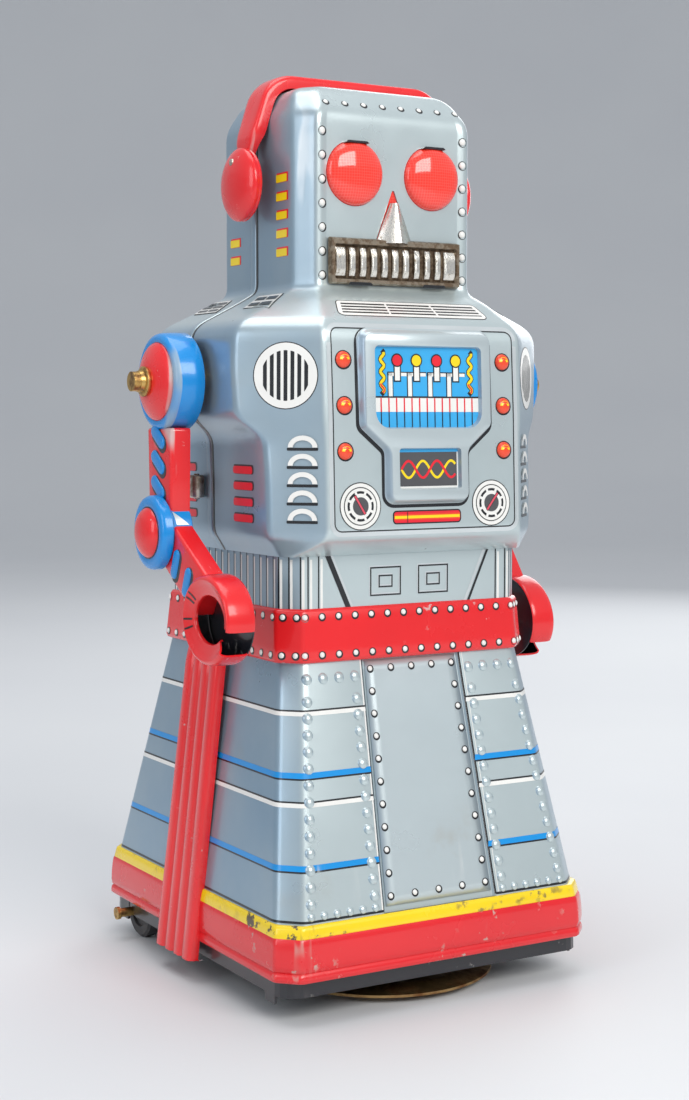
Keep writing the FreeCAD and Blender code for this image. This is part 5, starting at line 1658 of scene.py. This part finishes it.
def claw_angle(share):
    """From the upper jaw's tip, back round the wrist, to the lower jaw's tip."""
    low, high = CLAW_OPEN
    return math.radians(low - (360.0 - (high - low)) * share)


def claw_stretch(r):
    """The claw is longer than it is high, its opening more so."""
    return 1.37 - 0.23 * (r - 7.0) / 6.4


def claw_face(r):
    """How far out the ring's face stands at a radius."""
    if r < 8.6:
        return 66.9 + 0.3 * (r - 7.5) / 1.1
    if r < 10.3:
        return 67.2 + 0.5 * (r - 8.6) / 1.7
    return 67.7 + 0.6 * min(1.0, (r - 10.3) / 1.2)


def claw_arc(profile, steps):
    """Sweep a (radius, x) profile round the claw's centre, from jaw tip to jaw tip."""
    verts = []
    for k in range(steps + 1):
        angle = claw_angle(k / steps)
        for r, x in profile:
            verts.append((x, CLAW[0] + r * math.cos(angle) * claw_stretch(r), CLAW[1]
                          + r * math.sin(angle)))
    return verts, grid_faces(steps + 1, len(profile))


def build_claw(side, tag):
    """Pressed ring, red outside and black inside, on a dark palm, with its wrist's printing."""
    jaw = smooth_line([(7.0, 65.7), (7.1, 66.4), (7.5, 66.9), (8.6, 67.2), (10.3, 67.7),
                       (11.5, 68.3), (12.1, 68.4),
                       (12.8, 67.9), (13.2, 67.0), (13.4, 65.6), (13.4, 62.5), (13.3, 60.2),
                       (12.8, 59.4)], 2)
    make_claw_shell("claw_ring_" + tag, claw_arc(jaw, 72), side, ("claw_" + tag,))
    palm, faces = turned([(59.2, 0.1), (59.2, 12.4), (59.4, 12.9), (59.7, 12.9), (59.8, 12.4),
                          (59.8, 0.1)], CLAW, 56)
    palm = [Vector((v.x, CLAW[0] + (v.y - CLAW[0]) * 1.14, v.z)) for v in palm]
    arm_piece("claw_palm_" + tag, (palm, faces), side, "claw_tin", [BLACK])
    for name, slot, material, profile in (
            ("wrist_dot_line_", "black_tin", BLACK, [(65.9, 2.1), (66.1, 2.0), (66.1, 0.1)]),
            ("wrist_dot_", "blue_tin", BLUE, [(65.9, 1.5), (66.6, 1.4), (66.9, 0.9), (67.0, 0.1)])):
        arm_piece(name + tag, turned(profile, WRIST_DOT, 24), side, slot, [material])
    lines = []
    for angle in (31.0, 41.0, -4.0, -19.0):
        c, s = math.cos(math.radians(angle)), math.sin(math.radians(angle))
        verts = []
        for r in (8.0, 8.6, 9.5, 10.3, 11.0, 11.6):
            for off in (-0.28, 0.28):
                verts.append((claw_face(r) + 0.09, CLAW[0] + (r * c - off * s) * claw_stretch(r),
                              CLAW[1] + r * s + off * c))
        lines.append((verts, grid_faces(6, 2)))
    arm_piece("wrist_lines_" + tag, join(*lines), side, "black_tin", [INKS["black"]])


def make_claw_shell(name, part, side, nodes):
    """Shell with red enamel outside and black inside."""
    obj = arm_piece(name, part, side, "claw_tin", [RED, BLACK], nodes, 50.0)
    face_out(obj, side)
    modifier = obj.modifiers.new("wall", "SOLIDIFY")
    modifier.thickness = 0.55 * MM
    modifier.offset = -1.0
    modifier.material_offset = 1
    modifier.material_offset_rim = 0
    bake_modifiers(obj)
    shade_smooth(obj, 50.0)


def face_out(obj, side):
    """Point an open shell's normals away from the middle of the claw's section."""
    work = bmesh.new()
    work.from_mesh(obj.data)
    centre = Vector(arm_place([(63.0, CLAW[0], CLAW[1])], side)[0]) * MM
    score = 0.0
    for face in work.faces:
        middle = face.calc_center_median()
        flat = Vector((0, middle.y - centre.y, middle.z - centre.z)).normalized() * 0.0112
        core = Vector((centre.x, centre.y + flat.y, centre.z + flat.z))
        score += face.normal.dot(middle - core) * face.calc_area()
    if score < 0:
        bmesh.ops.reverse_faces(work, faces=work.faces)
    work.to_mesh(obj.data)
    work.free()


# ---- small hardware and carried-over pieces -----------------------------------------------


def build_clip():
    """Rolled clip that holds the two body shells together at the robot's right."""
    low, high = node_box("seam_clip")
    x, y = low.x + 2.5, 3.4
    z0, z1 = low.z + 0.4, high.z - 0.4
    profile = smooth_line([(z0, 1.6), (z0 + 0.2, 2.2), (z0 + 1.0, 2.4), ((z0 + z1) / 2, 2.45),
                           (z1 - 1.0, 2.4), (z1 - 0.2, 2.2), (z1, 1.6)])
    curl = rounded_line([(x + 1.6, y + 1.6), (x + 1.2, y + 4.4), (high.x - 0.2, y + 5.6)], 1.5, 4)
    wrap = [(cx, cy, z) for z in (z0 + 0.6, z1 - 0.6) for cx, cy in curl]
    pins = [post(x, y, [(z, 0.9), (z + 0.9, 0.9)], 16) for z in (low.z, high.z - 0.9)]
    roll = post(x, y, profile, 28)
    make_piece("seam_clip_roll", *join(roll, (wrap, grid_faces(2, len(curl))), *pins), "robot",
               "bare_metal", [CLIP_METAL], ("seam_clip",), angle=45.0)


def post(x, y, profile, steps):
    """Closed upright turned form from (z, radius) points."""
    verts = [(px, py, z) for z, r in profile for px, py in circle(x, y, r, steps)]
    ends = [tuple(range(steps)), tuple(range(len(verts) - steps, len(verts)))]
    return verts, grid_faces(len(profile), steps, True) + ends


def dress_carried_nodes():
    """Every CAD node keeps its mesh and gets the finish of its material slot."""
    finish = {"brass": BRASS, "steel": STEEL, "spring_steel": SPRING, "gold_tin": GOLD,
              "wheel_rubber": RUBBER,
              "black_tin": BLACK, "bare_metal": CLIP_METAL, "red_tin": RED, "arm_tin": RED,
              "claw_tin": RED,
              "belt_tin": RED, "rim_tin": RIM_RED, "blue_tin": BLUE, "red_lens": LENS,
              "blue_grey_tin": TIN_TONE}
    slots = {part["node"]: part["material_slot"] for part in frame["record"]["subparts"]}
    for name, obj in frame["nodes"].items():
        obj.data.materials.clear()
        obj.data.materials.append(finish[slots[name]])
        obj.data.polygons.foreach_set("material_index", [0] * len(obj.data.polygons))


# ---- camera, light and floor --------------------------------------------------------------


CAMERA_PLACE = (-0.3015, -0.5205, 0.1768)
CAMERA_AIM = (-30.30, 4.18)               # azimuth and elevation in degrees
CAMERA_LENS = 60.34


def build_camera():
    azimuth, elevation = (math.radians(angle) for angle in CAMERA_AIM)
    back = Vector((math.sin(azimuth) * math.cos(elevation),
                   -math.cos(azimuth) * math.cos(elevation), math.sin(elevation)))
    data = bpy.data.cameras.new("camera")
    data.lens = CAMERA_LENS
    data.sensor_width = 36.0
    data.clip_start = 0.01
    cam = bpy.data.objects.new("camera", data)
    cam.location = Vector(CAMERA_PLACE)
    cam.rotation_euler = back.to_track_quat("Z", "Y").to_euler()
    bpy.context.scene.collection.objects.link(cam)
    bpy.context.scene.camera = cam


def area_light(name, place, target, size, power, color=(1, 1, 1)):
    data = bpy.data.lights.new(name, "AREA")
    data.shape = "RECTANGLE"
    data.size, data.size_y = size
    data.energy = power
    data.color = color
    obj = bpy.data.objects.new(name, data)
    obj.location = place
    obj.rotation_euler = (Vector(place) - Vector(target)).to_track_quat("Z", "Y").to_euler()
    bpy.context.scene.collection.objects.link(obj)


def build_studio():
    """Pale floor that curves up all round, with soft lights inside it."""
    profile = [(0.0, 0.0), (0.3, 0.0), (1.0, 0.0), (1.9, 0.0)]
    profile += [(1.9 + 1.4 * math.sin(math.radians(6 * k)), 1.4
                 - 1.4 * math.cos(math.radians(6 * k)))
                for k in range(1, 14)]
    steps = 72
    verts = [(x, y, z) for r, z in profile for x, y in circle(0, 0, r, steps)]
    mesh = bpy.data.meshes.new("floor")
    mesh.from_pydata(verts, [], grid_faces(len(profile), steps, True))
    mesh.materials.append(floor_card("floor_card"))
    mesh.polygons.foreach_set("use_smooth", [True] * len(mesh.polygons))
    floor = bpy.data.objects.new("floor", mesh)
    bpy.context.scene.collection.objects.link(floor)
    clean_mesh(floor)
    if floor.data.polygons[0].normal.z < 0:
        floor.data.flip_normals()
    world = bpy.data.worlds.new("studio")
    world.use_nodes = True
    world.node_tree.nodes["Background"].inputs[0].default_value = (0.78, 0.82, 0.88, 1.0)
    world.node_tree.nodes["Background"].inputs[1].default_value = 0.62
    bpy.context.scene.world = world
    centre = (0.0, 0.0, 0.14)
    area_light("key", (0.05, -1.15, 0.85), centre, (0.9, 0.6), 10.5, (1.0, 0.98, 0.95))
    area_light("left", (-1.1, -0.25, 0.55), centre, (0.4, 0.8), 2.4, (0.93, 0.96, 1.0))
    area_light("top", (-0.1, 0.1, 1.3), centre, (0.9, 0.9), 5.6)
    area_light("rim", (0.8, 0.7, 0.6), centre, (0.5, 0.8), 2.5)
    bpy.context.scene.view_settings.view_transform = "Standard"


# ---- build --------------------------------------------------------------------------------

dress_carried_nodes()
front_shell, rear_shell = build_body_shells()
build_seam()
build_housing()
print_body(front_shell, rear_shell)
build_eyes()
build_mouth()
build_headband()
build_ear_caps()
build_waist()
build_belt()
build_skirt()
build_base()
build_strips()
for arm_side in (-1, 1):
    build_arm(arm_side)
build_clip()
build_camera()
build_studio()
